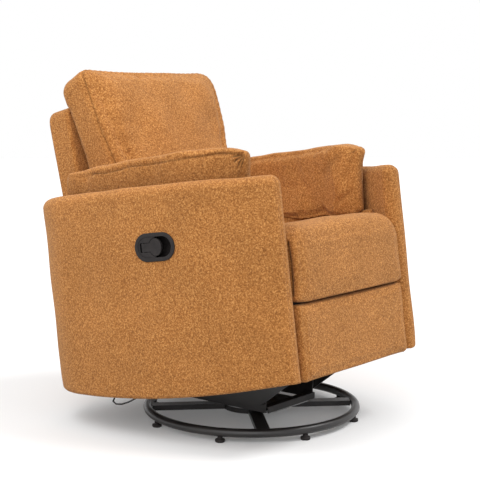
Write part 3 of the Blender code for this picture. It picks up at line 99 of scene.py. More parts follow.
floor_paint = bpy.data.materials.new("studio_floor")
floor_paint.use_nodes = True
tree = floor_paint.node_tree
tree.nodes.clear()
pale = maths(tree, "ADD", seen_directly(tree, FLOOR_SEEN - FLOOR_BOUNCE), FLOOR_BOUNCE)
matt = node(tree, "ShaderNodeBsdfDiffuse", {"Color": pale})
glow = node(tree, "ShaderNodeEmission", {"Color": WHITE, "Strength": seen_directly(tree, FLOOR_GLOW)})
both = node(tree, "ShaderNodeAddShader", {0: matt.outputs[0], 1: glow.outputs[0]})
node(tree, "ShaderNodeOutputMaterial", {"Surface": both.outputs[0]})
ring = np.linspace(0.0, 2.0 * pi, 64, endpoint=False)
rim = FLOOR_RADIUS * np.stack([np.cos(ring), np.sin(ring), 0.0 * ring], axis=1)
floor_mesh = bpy.data.meshes.new("floor")
floor_mesh.from_pydata(rim.tolist(), [], [list(range(len(rim)))])
floor_mesh.materials.append(floor_paint)
floor = put("floor", floor_mesh)


def lamp(name, azimuth, height, strength, spread):
    """A broad far lamp: azimuth is where it stands, measured from -Y towards +X, height its elevation."""
    made = bpy.data.lights.new(name, "SUN")
    made.energy = strength
    made.angle = radians(spread)
    put(name, made).rotation_euler = (radians(90.0 - height), 0.0, radians(azimuth))


lamp("key_lamp", 38.0, 54.0, 1.45, 20.0)
lamp("fill_lamp", -62.0, 28.0, 0.75, 50.0)
side_light = bpy.data.lights.new("side_lamp", "AREA")
side_light.size = 1.0
side_light.energy = 12.0
side_lamp = put("side_lamp", side_light)
side_lamp.location = (-1.45, 0.15, 1.95)
side_lamp.rotation_euler = (0.0, radians(-47.0), 0.0)

CAMERA_PLACE = (-2.738, -2.193, 0.961)
AZIMUTH = radians(-50.74)
ELEVATION = radians(7.07)
lens = bpy.data.cameras.new("camera")
lens.sensor_width = 36.0
lens.lens = 89.5
lens.clip_end = 60.0
right = (cos(AZIMUTH), sin(AZIMUTH), 0.0)
back = (sin(AZIMUTH) * cos(ELEVATION), -cos(AZIMUTH) * cos(ELEVATION), sin(ELEVATION))
camera = put("camera", lens)
facing = Matrix((right, tuple(np.cross(back, right)), back)).transposed().to_4x4()
camera.matrix_world = Matrix.Translation(CAMERA_PLACE) @ facing
bpy.context.scene.camera = camera
bpy.context.scene.view_settings.view_transform = "Standard"


# Swivel base: a bent steel ring tube on eight floor glides, crossed arms, a bearing and the glide stand.
# Its welded steel has a satin black powder coat, which lies in a very fine orange peel.
def material(name):
    """A new material, its node tree and shader, and the object's own coordinates for its textures."""
    made = bpy.data.materials.new(name)
    made.use_nodes = True
    tree = made.node_tree
    return made, tree, tree.nodes["Principled BSDF"], node(tree, "ShaderNodeTexCoord").outputs["Object"]


def noise(tree, place, scale, detail, distortion=0.0):
    """Soft random patches, about one over scale metres wide."""
    return node(tree, "ShaderNodeTexNoise", {"Vector": place, "Scale": scale, "Detail": detail,
                                             "Distortion": distortion}).outputs["Fac"]


def rescale(tree, value, low, high, start=0.0, end=1.0):
    """A value that runs from start to end, made to run from low to high."""
    return node(tree, "ShaderNodeMapRange", {"Value": value, "From Min": start, "From Max": end,
                                             "To Min": low, "To Max": high}).outputs[0]


def ramp(tree, value, first, last, *between):
    """Colour that follows a value through stops of (position, red, green, blue)."""
    made = node(tree, "ShaderNodeValToRGB", {"Fac": value})
    stops = made.color_ramp.elements
    for stop, (position, *colour) in zip(stops, (first, last)):
        stop.position = position
        stop.color = (*colour, 1.0)
    for position, *colour in between:
        stops.new(position).color = (*colour, 1.0)
    return made.outputs["Color"]


def bump(tree, height, strength, distance):
    """Relief from a height between 0 and 1 that stands for distance metres."""
    inputs = {"Height": height, "Strength": strength, "Distance": distance}
    return node(tree, "ShaderNodeBump", inputs).outputs[0]


def powder_coat():
    """Near-black brown with a fine orange peel, dust lying thinly on it in wide patches."""
    made, tree, shader, place = material("black_powder_coat")
    dust = noise(tree, place, 14.0, 4.0)
    set_inputs(tree, shader, {
        "Base Color": ramp(tree, dust, (0.35, 0.011, 0.0095, 0.0095), (0.75, 0.020, 0.017, 0.016)),
        "Roughness": rescale(tree, dust, 0.30, 0.46, 0.3, 0.8), "Specular IOR Level": 0.55,
        "Normal": bump(tree, noise(tree, place, 650.0, 1.0), 0.35, 0.0003)})
    return made


def zinc_plate():
    """Zinc-plated steel: fine brushed streaks from front to rear and duller handled patches."""
    made, tree, shader, place = material("zinc_plate")
    stretch = node(tree, "ShaderNodeMapping", {"Vector": place, "Scale": (900.0, 60.0, 900.0)})
    streak = noise(tree, stretch.outputs[0], 1.0, 2.0)
    patch = noise(tree, place, 45.0, 3.0)
    set_inputs(tree, shader, {
        "Base Color": ramp(tree, patch, (0.3, 0.27, 0.27, 0.28), (0.7, 0.45, 0.45, 0.44)),
        "Roughness": rescale(tree, streak, 0.26, 0.48), "Metallic": 0.95,
        "Normal": bump(tree, streak, 0.15, 0.0002)})
    return made


def moulded_plastic():
    """Black nylon with the fine spark-eroded grain of its mould."""
    made, tree, shader, place = material("black_moulded_plastic")
    grain = node(tree, "ShaderNodeTexVoronoi", {"Vector": place, "Scale": 1100.0}).outputs["Distance"]
    rub = noise(tree, place, 60.0, 3.0)
    set_inputs(tree, shader, {
        "Base Color": ramp(tree, rub, (0.0, 0.013, 0.011, 0.011), (1.0, 0.034, 0.029, 0.028)),
        "Roughness": rescale(tree, rub, 0.42, 0.62), "Specular IOR Level": 0.18,
        "Normal": bump(tree, grain, 0.5, 0.0003)})
    return made


coat, zinc, plastic = powder_coat(), zinc_plate(), moulded_plastic()


def grid_faces(rows, columns, looped):
    """Quads between neighbouring rows of closed rings; looped joins the last row to the first."""
    r = np.arange(rows if looped else rows - 1)[:, None]
    c = np.arange(columns)[None, :]
    here, after = r * columns, (r + 1) % rows * columns
    quads = np.stack([here + c, here + (c + 1) % columns, after + (c + 1) % columns, after + c], axis=-1)
    return quads.reshape(-1, 4).tolist()


def piece(name, rings, finish, body, looped=False):
    """A closed skin over a (rows, columns, 3) grid of points whose rows are rings. The end rows are filled
    flat, faces are turned outwards by the sign of the volume they hold, and it rides on its body."""
    rings = np.asarray(rings, float)
    rows, columns = rings.shape[:2]
    faces = grid_faces(rows, columns, looped)
    if not looped:
        faces += [list(range(columns))[::-1], list(range((rows - 1) * columns, rows * columns))]
    points = rings.reshape(-1, 3)
    quads = np.array([f for f in faces if len(f) == 4])
    a, b, c, d = (points[quads[:, i]] - points.mean(axis=0) for i in range(4))
    volume = np.einsum("ij,ij->i", a, np.cross(b, c)).sum() + np.einsum("ij,ij->i", a, np.cross(c, d)).sum()
    if volume < 0.0:
        faces = [f[::-1] for f in faces]
    mesh = bpy.data.meshes.new(name)
    mesh.from_pydata(points.tolist(), [], faces)
    mesh.shade_smooth()
    mesh.materials.append(finish)
    made = put(name, mesh)
    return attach(made, body)


def turned(profile, sides, centre=(0.0, 0.0, 0.0)):
    """Rings of a turned piece: each (radius, height) of the profile carried once round a vertical axis."""
    radius, height = np.array(profile, float).T
    t = np.linspace(0.0, 2.0 * pi, sides, endpoint=False)
    rings = np.stack([radius[:, None] * np.cos(t), radius[:, None] * np.sin(t),
                      np.broadcast_to(height[:, None], (len(radius), sides))], axis=-1)
    return rings + np.array(centre)


RING_RADIUS = 0.312
RING_TUBE = 0.0125
RING_HEIGHT = 0.0282
GLIDE_PROFILE = ((0.0120, 0.0), (0.0134, 0.0010), (0.0140, 0.0030), (0.0140, 0.0070), (0.0132, 0.0085),
                 (0.0100, 0.0096), (0.0072, 0.0105), (0.0070, 0.0180))
round_tube = np.linspace(0.0, 2.0 * pi, 28, endpoint=False)
tube_profile = np.stack([RING_RADIUS + RING_TUBE * np.cos(round_tube),
                         RING_HEIGHT + RING_TUBE * np.sin(round_tube)], axis=1)
ring_tube = piece("ring_tube", turned(tube_profile, 180), coat, "base", looped=True)
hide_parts("base_ring")
for i in range(8):
    turn = pi / 8 + pi / 4 * i
    spot = (RING_RADIUS * cos(turn), RING_RADIUS * sin(turn), 0.0)
    foot = piece(f"floor_glide_{i}", turned(GLIDE_PROFILE, 28, spot), plastic, "base")


def dress(finish, *names):
    """Gives CAD nodes that keep their shape a finish of their own."""
    for name in names:
        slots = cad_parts[name].data.materials
        slots.clear()
        slots.append(finish)


dress(coat, "cross_arms", "glide_stand", "glide_rail_left", "glide_rail_right", "cross_tube_front",
      "cross_tube_rear", "base_rail_left", "base_rail_right")
dress(zinc, "swivel_lower_plate", "swivel_upper_plate", "king_pin", "glide_links_front", "glide_links_rear",
      "swing_links_front", "swing_links_rear")
dress(plastic, "bearing_race")


# Bouclé: looped wool-blend yarn in caramel, knitted tight. Curls of 4 to 8 mm stand up from the ground,
# and their colour is painted lighter at their tops and darker between, as light and shade on the loops; the
# cloth is also a touch uneven from place to place.
def boucle():
    """Curls: distance from scattered points, warped by noise, with finer rings and fibres on top. The
    tint follows a wider noise as well, so that single loops don't show as dots, and it darkens away from each
    curl's middle as painted shade between the loops. A piece's painted_shade attribute darkens the pile
    further: painted shade in its seams, folds and gaps."""
    made, tree, shader, place = material("caramel_boucle")
    wander = node(tree, "ShaderNodeTexNoise", {"Vector": place, "Scale": 170.0, "Detail": 1.0})
    centred = maths(tree, "SUBTRACT", wander.outputs["Color"], (0.5, 0.5, 0.5), kind="ShaderNodeVectorMath")
    pushed = maths(tree, "MULTIPLY", centred, (0.007, 0.007, 0.007), kind="ShaderNodeVectorMath")
    warped = maths(tree, "ADD", place, pushed, kind="ShaderNodeVectorMath")
    curls = node(tree, "ShaderNodeTexVoronoi", {"Vector": warped, "Scale": 275.0}).outputs["Distance"]
    mottle = noise(tree, warped, 225.0, 2.0, 0.6)
    fibre = noise(tree, place, 900.0, 2.0)

    def weigh(total, part, weight):
        """total plus weight times part."""
        return maths(tree, "MULTIPLY_ADD", part, weight, total)

    ringed = maths(tree, "SINE", maths(tree, "MULTIPLY", curls, 11.0))
    # lightness of the pile: random mottle and fibres, and darker away from each curl's middle as painted
    # shade between the loops
    light = weigh(weigh(weigh(-0.02, mottle, 1.05), curls, -0.50), fibre, 0.50)
    high = weigh(weigh(weigh(weigh(0.60, curls, -0.80), ringed, 0.10), mottle, 0.45), fibre, 0.12)
    tone = ramp(tree, light, (0.30, 0.255, 0.092, 0.021), (0.78, 0.640, 0.305, 0.094),
                (0.52, 0.415, 0.165, 0.041))
    shade = rescale(tree, noise(tree, place, 8.0, 3.0), 0.93, 1.06, 0.3, 0.7)
    # painted shade from each piece's attribute darkens the cloth in its seams, folds and gaps
    painted_shade = node(tree, "ShaderNodeAttribute", attribute_name="painted_shade").outputs["Fac"]
    cloth = maths(tree, "MULTIPLY", tone, weigh(shade, painted_shade, -0.55), kind="ShaderNodeVectorMath")
    set_inputs(tree, shader, {
        "Base Color": cloth, "Normal": bump(tree, high, 0.70, 0.0026), "Roughness": 0.95,
        "Specular IOR Level": 0.18, "Sheen Weight": 0.22, "Sheen Roughness": 0.55,
        "Sheen Tint": (1.0, 0.72, 0.45, 1.0)})
    return made


cloth_finish = boucle()
LEAN = radians(7.7)


def lean(points):
    """Tips points drawn upright back about the X axis, as the whole upper chair stands at rest."""
    x, y, z = np.moveaxis(np.asarray(points, float), -1, 0)
    return np.stack([x, y * cos(LEAN) + z * sin(LEAN), z * cos(LEAN) - y * sin(LEAN)], axis=-1)


def waves(points, size, seed):
    """Smooth random swelling, mostly between -1 and 1: sines of random direction, near size in length."""
    count = 16
    chance = np.random.default_rng(seed)
    way = chance.normal(size=(count, points.shape[-1]))
    way *= 2.0 * pi / (np.linalg.norm(way, axis=1) * size * chance.uniform(0.7, 1.5, count))[:, None]
    total = np.sin(points @ way.T + chance.uniform(0.0, 2.0 * pi, count)).sum(axis=-1)
    return total / (count / 2.0) ** 0.5 / 1.4


# Arms: one bent plywood sheet each, padded and covered. An outer and an inner panel are sewn to a narrow
# strip that runs over the top and down the nose; the seams show down the nose and fade into the top. The
# arm's middle line is three arcs, each given by its length and radius, from the nose to the rear.
ARM_ARCS = ((0.315, 1.025), (0.345, 1.820), (0.1845, 0.151))
ARM_LENGTH = sum(length for length, _ in ARM_ARCS)
ARM_NOSE = (0.2885, -0.3855)
ARM_LOW, ARM_HIGH, ARM_HALF = 0.152, 0.702, 0.0275
SEAM_SIDE = 0.0165


def arm_plan(s, w):
    """Plan x, y and heading of the left arm at s metres along its middle line, w outwards. The heading
    starts 28 degrees outwards and falls at one over each arc's radius; past the ends the line is straight."""
    fine = np.linspace(0.0, ARM_LENGTH, 1201)
    ends = np.cumsum([length for length, _ in ARM_ARCS])
    bend = 1.0 / np.array([radius for _, radius in ARM_ARCS])[np.searchsorted(ends, fine - 1e-9).clip(0, 2)]
    step = np.diff(fine, prepend=0.0)
    heading = radians(28.0) - np.cumsum(bend * step)
    line_x = ARM_NOSE[0] + np.cumsum(np.sin(heading) * step)
    line_y = ARM_NOSE[1] + np.cumsum(np.cos(heading) * step)
    turn = np.interp(s, fine, heading)
    past = s - np.clip(s, 0.0, ARM_LENGTH)
    x = np.interp(s, fine, line_x) + past * np.sin(turn) + w * np.cos(turn)
    y = np.interp(s, fine, line_y) + past * np.cos(turn) - w * np.sin(turn)
    return x, y, turn


def arm_cover():
    """Rings of the cover in upright coordinates: a wall 55 mm thick with a round top. Its half width falls
    with the cosine at both ends, its faces are puffed by 2 mm, and where |w| is near SEAM_SIDE the cloth
    sinks by a bell curve, fully on the ends and a little on the top."""
    turn = radians(89.0) * np.linspace(0.0, 1.0, 25)[1:]
    angle = np.concatenate([-turn[::-1], np.zeros(141), turn])[:, None]
    s = np.concatenate([np.zeros(24), np.linspace(0.0, ARM_LENGTH, 141), np.full(24, ARM_LENGTH)])[:, None]
    half = ARM_HALF * np.cos(angle)
    share = s / ARM_LENGTH
    low = ARM_LOW - 0.024 * np.sin(pi * share)
    high = ARM_HIGH + 0.006 * np.sin(pi * share)
    over = np.linspace(0.0, pi, 45)
    climb = np.linspace(0.0, 1.0, 84)[1:-1]
    foot = np.minimum(0.009, 0.8 * half)
    bend = np.linspace(0.0, pi / 2.0, 6)
    top_z = high - ARM_HALF
    wall = low + foot + (top_z - low - foot) * climb
    w = np.concatenate([half * np.cos(over), np.broadcast_to(-half, wall.shape),
                        -half + foot * (1.0 - np.cos(bend)), half - foot * (1.0 - np.cos(bend[::-1])),
                        np.broadcast_to(half, wall.shape)], axis=1)
    z = np.concatenate([top_z + half * np.sin(over), wall[:, ::-1], low + foot * (1.0 - np.sin(bend)),
                        low + foot * (1.0 - np.sin(bend[::-1])), wall], axis=1)
    up = np.concatenate([np.sin(over), np.zeros(w.shape[1] - len(over))])[None, :]
    depth = 0.0013 * np.exp(-((np.abs(w) - SEAM_SIDE) / 0.0022) ** 2)
    depth = depth * (0.12 * up + np.clip(np.abs(np.sin(angle)) * 2.0, 0.0, 1.0) * (z > low + 0.012))
    along = np.broadcast_to(s + ARM_HALF * np.sin(angle), w.shape)
    puff = 0.0020 * np.clip((z - low) * (high - z) / 0.02, 0.0, 1.0)
    puff = puff + 0.0014 * waves(np.stack([along, z, 3.0 * np.sign(w)], axis=-1), 0.16, 3)
    w = w * (1.0 + puff / ARM_HALF) - np.sign(w) * depth * np.cos(angle) * (1.0 - up)
    z = z - depth * np.cos(angle) * up + 0.0012 * up * waves(np.stack([along, w], axis=-1), 0.12, 5)
    along = along - depth * np.sin(angle)
    x, y, _ = arm_plan(along, w)
    return np.stack([x, y, z], axis=-1)


SIDES = (("left", 1.0), ("right", np.array([-1.0, 1.0, 1.0])))
arm_rings = arm_cover()
for word, mirror in SIDES:
    arm = piece(f"arm_{word}", lean(arm_rings * mirror), cloth_finish, "chassis")
    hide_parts(f"arm_cover_{word}")
right_arm = arm


DECK_INNER, DECK_OUTER, DECK_TOP, DECK_THICK = 0.268, -0.0285, 0.574, 0.020
NOTCH_FRONT, NOTCH_INNER, SKIRT_REAR, SKIRT_LOW = 0.292, 0.286, 0.232, 0.400


def along_arm(y, w, reach):
    """Metres along the arm, up to reach, at which the line w outwards of its middle gets to y."""
    s = np.linspace(0.0, reach, 400)
    return np.interp(y, arm_plan(s, w)[1], s)


def arm_deck():
    """Rings of the level deck between the arm and the seat: an L-shaped section carried along the arm,
    with its skirt down beside the seat cushion as far as the back, where the deck is also cut narrower."""
    steps = np.array([SKIRT_REAR, NOTCH_FRONT])
    both_steps = along_arm(np.append(steps - 0.0005, steps + 0.0005), DECK_OUTER, 0.8)
    s = np.sort(np.append(np.linspace(0.06, 0.735, 90), both_steps))
    x, y, _ = arm_plan(s, DECK_OUTER)
    inner = np.where(y < NOTCH_FRONT, DECK_INNER, NOTCH_INNER)
    under, edge, bend = DECK_TOP - DECK_THICK, 0.008, np.linspace(0.0, pi / 2.0, 7)
    skirt = np.where(y < SKIRT_REAR, SKIRT_LOW, under - 0.0005)
    wall = inner + 0.015
    across = [inner] + [inner + edge * (1.0 - cos(t)) for t in bend] + [x, x, wall, wall]
    height = [skirt] + [DECK_TOP - edge + edge * sin(t) for t in bend] + [DECK_TOP, under, under, skirt]
    return np.stack([np.stack([v + 0.0 * s for v in across], axis=1),
                     np.stack([y] * len(across), axis=1),
                     np.stack([v + 0.0 * s for v in height], axis=1)], axis=-1)


deck_rings = arm_deck()
for word, mirror in SIDES:
    deck = piece(f"deck_{word}", lean(deck_rings * mirror), cloth_finish, "chassis")
    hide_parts(f"arm_deck_{word}")


# Loose arm pillows: a fibre-filled bag with a gusset round it, lying along the deck against the arm. Its
# front top corner is gathered where the gusset turns, so short folds run out from it like a star.
def rounded_outline(corners, spacing=0.006):
    """An even closed line through (a, b, radius) corners, anticlockwise, each corner a parabola's arc."""
    count = len(corners)
    line = []
    for i, (a, b, radius) in enumerate(corners):
        here = np.array([a, b])
        before = np.array(corners[i - 1][:2]) - here
        after = np.array(corners[(i + 1) % count][:2]) - here
        start = here + before / np.linalg.norm(before) * radius
        end = here + after / np.linalg.norm(after) * radius
        t = np.linspace(0.0, 1.0, 13)[:, None]
        line.append((1.0 - t) ** 2 * start + 2.0 * t * (1.0 - t) * here + t ** 2 * end)
    line = np.vstack(line + [line[0][:1]])
    passed = np.append(0.0, np.cumsum(np.linalg.norm(np.diff(line, axis=0), axis=1)))
    at = np.linspace(0.0, passed[-1], int(passed[-1] / spacing), endpoint=False)
    return np.stack([np.interp(at, passed, line[:, 0]), np.interp(at, passed, line[:, 1])], axis=1)


def inward_of(line):
    """Unit direction from each point of a closed anticlockwise line into it."""
    ahead = np.roll(line, -1, axis=0) - np.roll(line, 1, axis=0)
    ahead /= np.linalg.norm(ahead, axis=1, keepdims=True)
    return np.stack([-ahead[:, 1], ahead[:, 0]], axis=1)


def bag(outline, near, far, edge, crown=0.0, inset=0.0):
    """Rings of a stuffed bag as (a, depth, b): the outline shrinks to its middle on the near face, runs
    over a round edge, down the gusset and back in on the far face. near and far give depth at (a, b)."""
    middle = (outline.max(axis=0) + outline.min(axis=0)) / 2.0
    inward = inward_of(outline)
    outline = outline + inset * inward
    edge_line = outline + edge * inward
    rings = []
    shares = np.linspace(0.02, 1.0, 26)
    bend = np.linspace(0.0, pi / 2.0, 9)[1:]
    for face, sign in ((near, 1.0), (far, -1.0)):
        rows = []
        for f in shares:
            ab = middle + (edge_line - middle) * f
            rows.append((ab, face(*ab.T) + sign * (inset - crown * (1.0 - f * f))))
        for t in bend:
            ab = outline + edge * (1.0 - np.sin(t)) * inward
            rows.append((ab, face(*ab.T) + sign * (inset + edge * (1.0 - np.cos(t)))))
        rings.append([np.stack([ab[:, 0], depth, ab[:, 1]], axis=1) for ab, depth in rows])
    front, rear = rings
    last, first = front[-1], rear[-1]
    gusset = [last + (first - last) * t for t in np.linspace(0.0, 1.0, 8)[1:-1]]
    return np.array(front + gusset + rear[::-1])


def vectors_of(items, key):
    """One vector of each of a mesh's items, as an array."""
    values = np.empty(len(items) * 3, np.float32)
    items.foreach_get(key, values)
    return values.reshape(-1, 3).astype(float)


def points_of(thing):
    """An object's points as an array, in its own coordinates."""
    return vectors_of(thing.data.vertices, "co")


def normals_of(thing):
    """Outward direction at each point of a mesh."""
    return vectors_of(thing.data.vertex_normals, "vector")


def set_points(thing, points):
    """Puts an array of points back into an object's mesh."""
    thing.data.vertices.foreach_set("co", np.ascontiguousarray(points, np.float32).ravel())
    thing.data.update()


def settle(thing):
    """Makes what the live modifiers show the object's own mesh."""
    shown = thing.evaluated_get(bpy.context.evaluated_depsgraph_get())
    mesh = bpy.data.meshes.new_from_object(shown)
    thing.modifiers.clear()
    thing.data = mesh
    mesh.shade_smooth()


def stuff(thing, reach, hold, shrink=0.003):
    """Fills a closed bag: an even remesh, twenty steps of cloth under inner pressure and no weight, and one
    subdivision. No point goes further than reach or sinks more than shrink, and hold() keeps it clear of
    its neighbours."""
    even = thing.modifiers.new("even", "REMESH")
    even.mode = "VOXEL"
    even.voxel_size = 0.006
    settle(thing)
    before, out = points_of(thing), normals_of(thing)
    swell = thing.modifiers.new("swell", "CLOTH")
    swell.settings.use_pressure = True
    swell.settings.uniform_pressure_force = 4.0
    swell.settings.effector_weights.gravity = 0.0
    swell.point_cache.frame_start = 1
    swell.point_cache.frame_end = 20
    scene = bpy.context.scene
    for step in range(1, 21):
        scene.frame_set(step)
    settle(thing)
    scene.frame_set(1)
    move = points_of(thing) - before
    sunk = (move * out).sum(axis=1, keepdims=True)
    move = move + out * np.maximum(-shrink - sunk, 0.0)
    far = np.linalg.norm(move, axis=1, keepdims=True)
    set_points(thing, hold(before, before + move * np.minimum(1.0, reach / np.maximum(far, 1e-9))))
    finer = thing.modifiers.new("finer", "SUBSURF")
    finer.levels = finer.render_levels = 1
    settle(thing)


def distance_to(points, path):
    """How far each point lies from a path of close points, and where along it (0 to 1) the nearest is.
    Points over 5 cm outside the path's box get 1 metre."""
    path = np.asarray(path, float)
    close = np.all((points > path.min(axis=0) - 0.05) & (points < path.max(axis=0) + 0.05), axis=1)
    far = np.full(len(points), 1.0)
    where = np.zeros(len(points))
    if close.any():
        chosen = points[close]
        square = (chosen ** 2).sum(axis=1)[:, None] + (path ** 2).sum(axis=1) - 2.0 * chosen @ path.T
        best = square.argmin(axis=1)
        far[close] = np.sqrt(np.maximum(square[np.arange(len(best)), best], 0.0))
        where[close] = best / (len(path) - 1)
    return far, where


LINE_STEP = 0.0015


def line_on(thing, corners):
    """Close, even points along straight pieces between corners, each moved to the nearest spot on the
    skin."""
    corners = np.array(corners, float)
    passed = np.append(0.0, np.cumsum(np.linalg.norm(np.diff(corners, axis=0), axis=1)))
    at = np.linspace(0.0, passed[-1], max(int(passed[-1] / LINE_STEP), 2))
    line = np.stack([np.interp(at, passed, corners[:, i]) for i in range(3)], axis=1)
    bpy.context.view_layer.update()
    return np.array([thing.closest_point_on_mesh(Vector(spot))[1] for spot in line.tolist()])


def press(thing, points, pull, dark):
    """Moves each point in by pull along its normal and paints shade of strength dark on the cloth there, kept
    in its painted shade attribute.
    """
    layer = thing.data.attributes.get("painted_shade") or thing.data.attributes.new("painted_shade", "FLOAT", "POINT")
    old = np.empty(len(points), np.float32)
    layer.data.foreach_get("value", old)
    layer.data.foreach_set("value", np.maximum(old, dark).astype(np.float32))
    set_points(thing, points - normals_of(thing) * pull[:, None])


def seam(thing, corners, depth, width, pucker, dark=0.8):
    """Pulls the cloth in along a sewn line: a narrow groove, with small puckers every 22 mm beside it, and
    painted shade of strength dark along the groove.
    """
    points = points_of(thing)
    path = line_on(thing, corners)
    far, where = distance_to(points, path)
    pull = depth * np.exp(-(far / width) ** 2)
    along = where * len(path) * LINE_STEP
    ripple = pucker * np.exp(-(far / 0.018) ** 2) * np.sin(2.0 * pi * along / 0.022)
    press(thing, points, pull + ripple, dark * np.exp(-(far / 0.0022) ** 2))


def fold(thing, start, end, depth, width, dark=0.35):
    """One soft fold from start to end: a valley of a bell's section with a low ridge on each side, which
    dies out towards both ends. Painted shade of strength dark lies along the valley and fades with it."""
    points = points_of(thing)
    far, where = distance_to(points, line_on(thing, [start, end]))
    q = (far / width) ** 2
    fade = np.sin(pi * np.clip(where, 0.02, 0.98)) ** 0.7
    press(thing, points, depth * (1.0 - 0.9 * q) * np.exp(-q) * fade, dark * np.exp(-4.0 * q) * fade)


# The pillow's ends and levels along the arm; off_arm is how far its middle lies inside the arm's middle line
# and near the depth of its face towards the sitter. The seat's levels are here too, since it rests on them.
PILLOW = {"front": 0.062, "rear": 0.742, "low": 0.5745, "high": 0.788, "off_arm": 0.0715, "near": -0.043}
SEAT = {"half": 0.260, "front": -0.422, "rear": 0.272, "top": 0.560, "base": 0.4345, "lip": 0.3555,
        "lip_rear": -0.3653, "edge": 0.055, "drop": 0.046, "crown": 0.010}


def ease(value, start, end):
    """Goes evenly from 0 at start to 1 at end and stays there."""
    return np.clip((value - start) / (end - start), 0.0, 1.0)


def seat_drop(x, half):
    """Share of the drop of the seat's top across its width: a quarter circle over the last 55 mm."""
    return 1.0 - np.sqrt(1.0 - ease(np.abs(x), half - SEAT["edge"], half) ** 2)


def seat_top(x):
    """Height of the seat's top across its width: a 10 mm crown that drops round towards the sides."""
    crown = SEAT["crown"] * (1.0 - (x / SEAT["half"]) ** 2)
    return SEAT["top"] + crown - SEAT["drop"] * seat_drop(x, SEAT["half"])


def hollow(y):
    """How far the seat's top is sat down behind its front edge: 17 mm at most, none under the back."""
    return 0.017 * ease(y, -0.36, -0.06) * ease(y, 0.115, 0.035)


def over_seat(s, z):
    """How far the pillow's near face reaches past its own line low down, to hang over the deck's inner
    edge: 24 mm at most, fading out 80 mm above the deck."""
    reach = arm_plan(s, np.full_like(s, PILLOW["near"] - PILLOW["off_arm"]))[0] - (DECK_INNER - 0.012)
    return np.clip(reach, 0.0, 0.024) * ease(z, 0.665, 0.585)


def hold_pillow(before, after):
    """Keeps the pillow on the deck and off the arm and the back; past the deck's inner edge it hangs down
    towards the seat."""
    after[:, 1] = np.clip(after[:, 1], -0.051 - over_seat(after[:, 0], after[:, 2]), 0.0420)
    x, y, _ = arm_plan(after[:, 0], after[:, 1] - PILLOW["off_arm"])
    sag = np.minimum(0.018, PILLOW["low"] - 0.003 - seat_top(x)) + hollow(y)
    sag = sag * ease(x, DECK_INNER - 0.001, DECK_INNER - 0.023) * ease(after[:, 0], 0.52, 0.42)
    after[:, 2] = np.maximum(after[:, 2], PILLOW["low"] - sag)
    after[:, 0] = np.clip(after[:, 0], PILLOW["front"] - 0.014, PILLOW["rear"] + 0.004)
    return after


def make_pillow():
    """The pillow drawn straight: x along the arm, y outwards from its own middle, z up."""
    front, rear, low, high = (PILLOW[word] for word in ("front", "rear", "low", "high"))
    outline = rounded_outline([(front + 0.006, low - 0.014, 0.024), (front + 0.30, low - 0.032, 0.10),
                               (rear - 0.010, low + 0.004, 0.060), (rear - 0.014, high - 0.018, 0.060),
                               (front + 0.34, high + 0.004, 0.12), (front + 0.050, high - 0.002, 0.040),
                               (front - 0.010, high - 0.016, 0.020), (front + 0.003, 0.690, 0.060)])

    def near(a, b):
        """Depth of the face towards the sitter, drawn back towards the front end."""
        to_end = ease(a, front + 0.095, front)
        return (PILLOW["near"] - over_seat(a, b) * (1.0 - to_end) + 0.044 * to_end ** 2
                + 0.008 * np.clip((b - 0.66) / 0.10, -0.4, 1.2) ** 2 * (1.0 - to_end))

    def far(a, b):
        """Depth of the face towards the arm, which leaves it downwards."""
        to_end = ease(a, front + 0.040, front)
        return 0.0400 - 0.022 * ease(b, 0.770, 0.650) * (1.0 - 0.3 * to_end)

    return bag(outline, near, far, 0.011, crown=0.004, inset=0.001)


pillow_rings = make_pillow()
front, high = PILLOW["front"], PILLOW["high"]
for word, sign in (("left", 1.0), ("right", -1.0)):
    pillow = piece(f"pillow_{word}", pillow_rings, cloth_finish, "chassis")
    stuff(pillow, 0.012, hold_pillow)
    points = points_of(pillow)
    # seam round the pillow's top, with painted shade along its groove
    seam(pillow, [(front + 0.020, 0.036, high - 0.022), (0.40, 0.036, high - 0.026),
                  (0.58, 0.035, high - 0.034)], 0.0038, 0.0030, 0.0008, 1.0)
    # painted shade on the outer face below the seam, deepening downwards towards the arm's top
    below = high - points[:, 2]
    shade = ease(points[:, 1], 0.005, 0.017) * ease(below, 0.020, 0.032)
    shade = shade * (0.16 + 0.40 * ease(below, 0.030, 0.085))
    press(pillow, points_of(pillow), np.zeros(len(points)), shade)
    # gathers at the front top corner: folds with strong painted shade on the outer face and faint on the
    # inner; the folds below carry painted shade too
    for outer in (True, False):
        corner = (front + 0.012, 0.036 if outer else 0.010, high - 0.022)
        for reach_a, reach_b, deep in ((0.036, -0.010, 0.005), (0.030, -0.028, 0.006),
                                       (0.016, -0.042, 0.006), (0.003, -0.048, 0.004)):
            end = (corner[0] + reach_a, 0.043 if outer else -0.4 * reach_a, corner[2] + reach_b)
            fold(pillow, corner, end, deep if outer else 0.3 * deep, 0.006, 1.5 if outer else 0.10)
    fold(pillow, (front + 0.014, 0.0, 0.640), (front + 0.090, -0.040, 0.592), 0.005, 0.012, 0.2)
    fold(pillow, (front - 0.004, 0.012, 0.768), (front + 0.026, -0.006, 0.750), 0.0020, 0.004, 1.0)
    fold(pillow, (front + 0.020, -0.040, 0.765), (front + 0.130, -0.044, 0.700), 0.004, 0.022)
    points = points_of(pillow)
    points[:, 1] += 0.0032 * waves(points, 0.12, 11 if sign > 0 else 12)
    rise = -0.005 * sign * ease(points[:, 0], 0.62, 0.32)
    points[:, 2] += (rise + 0.0022 * waves(points, 0.15, 13)) * ease(points[:, 2], 0.66, 0.74)
    points = hold_pillow(points, points)
    x, y, _ = arm_plan(points[:, 0], points[:, 1] - PILLOW["off_arm"])
    set_points(pillow, lean(np.stack([x * sign, y, points[:, 2]], axis=1)))
    if sign < 0.0:
        pillow.data.flip_normals()
    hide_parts(f"arm_pillow_{word}")


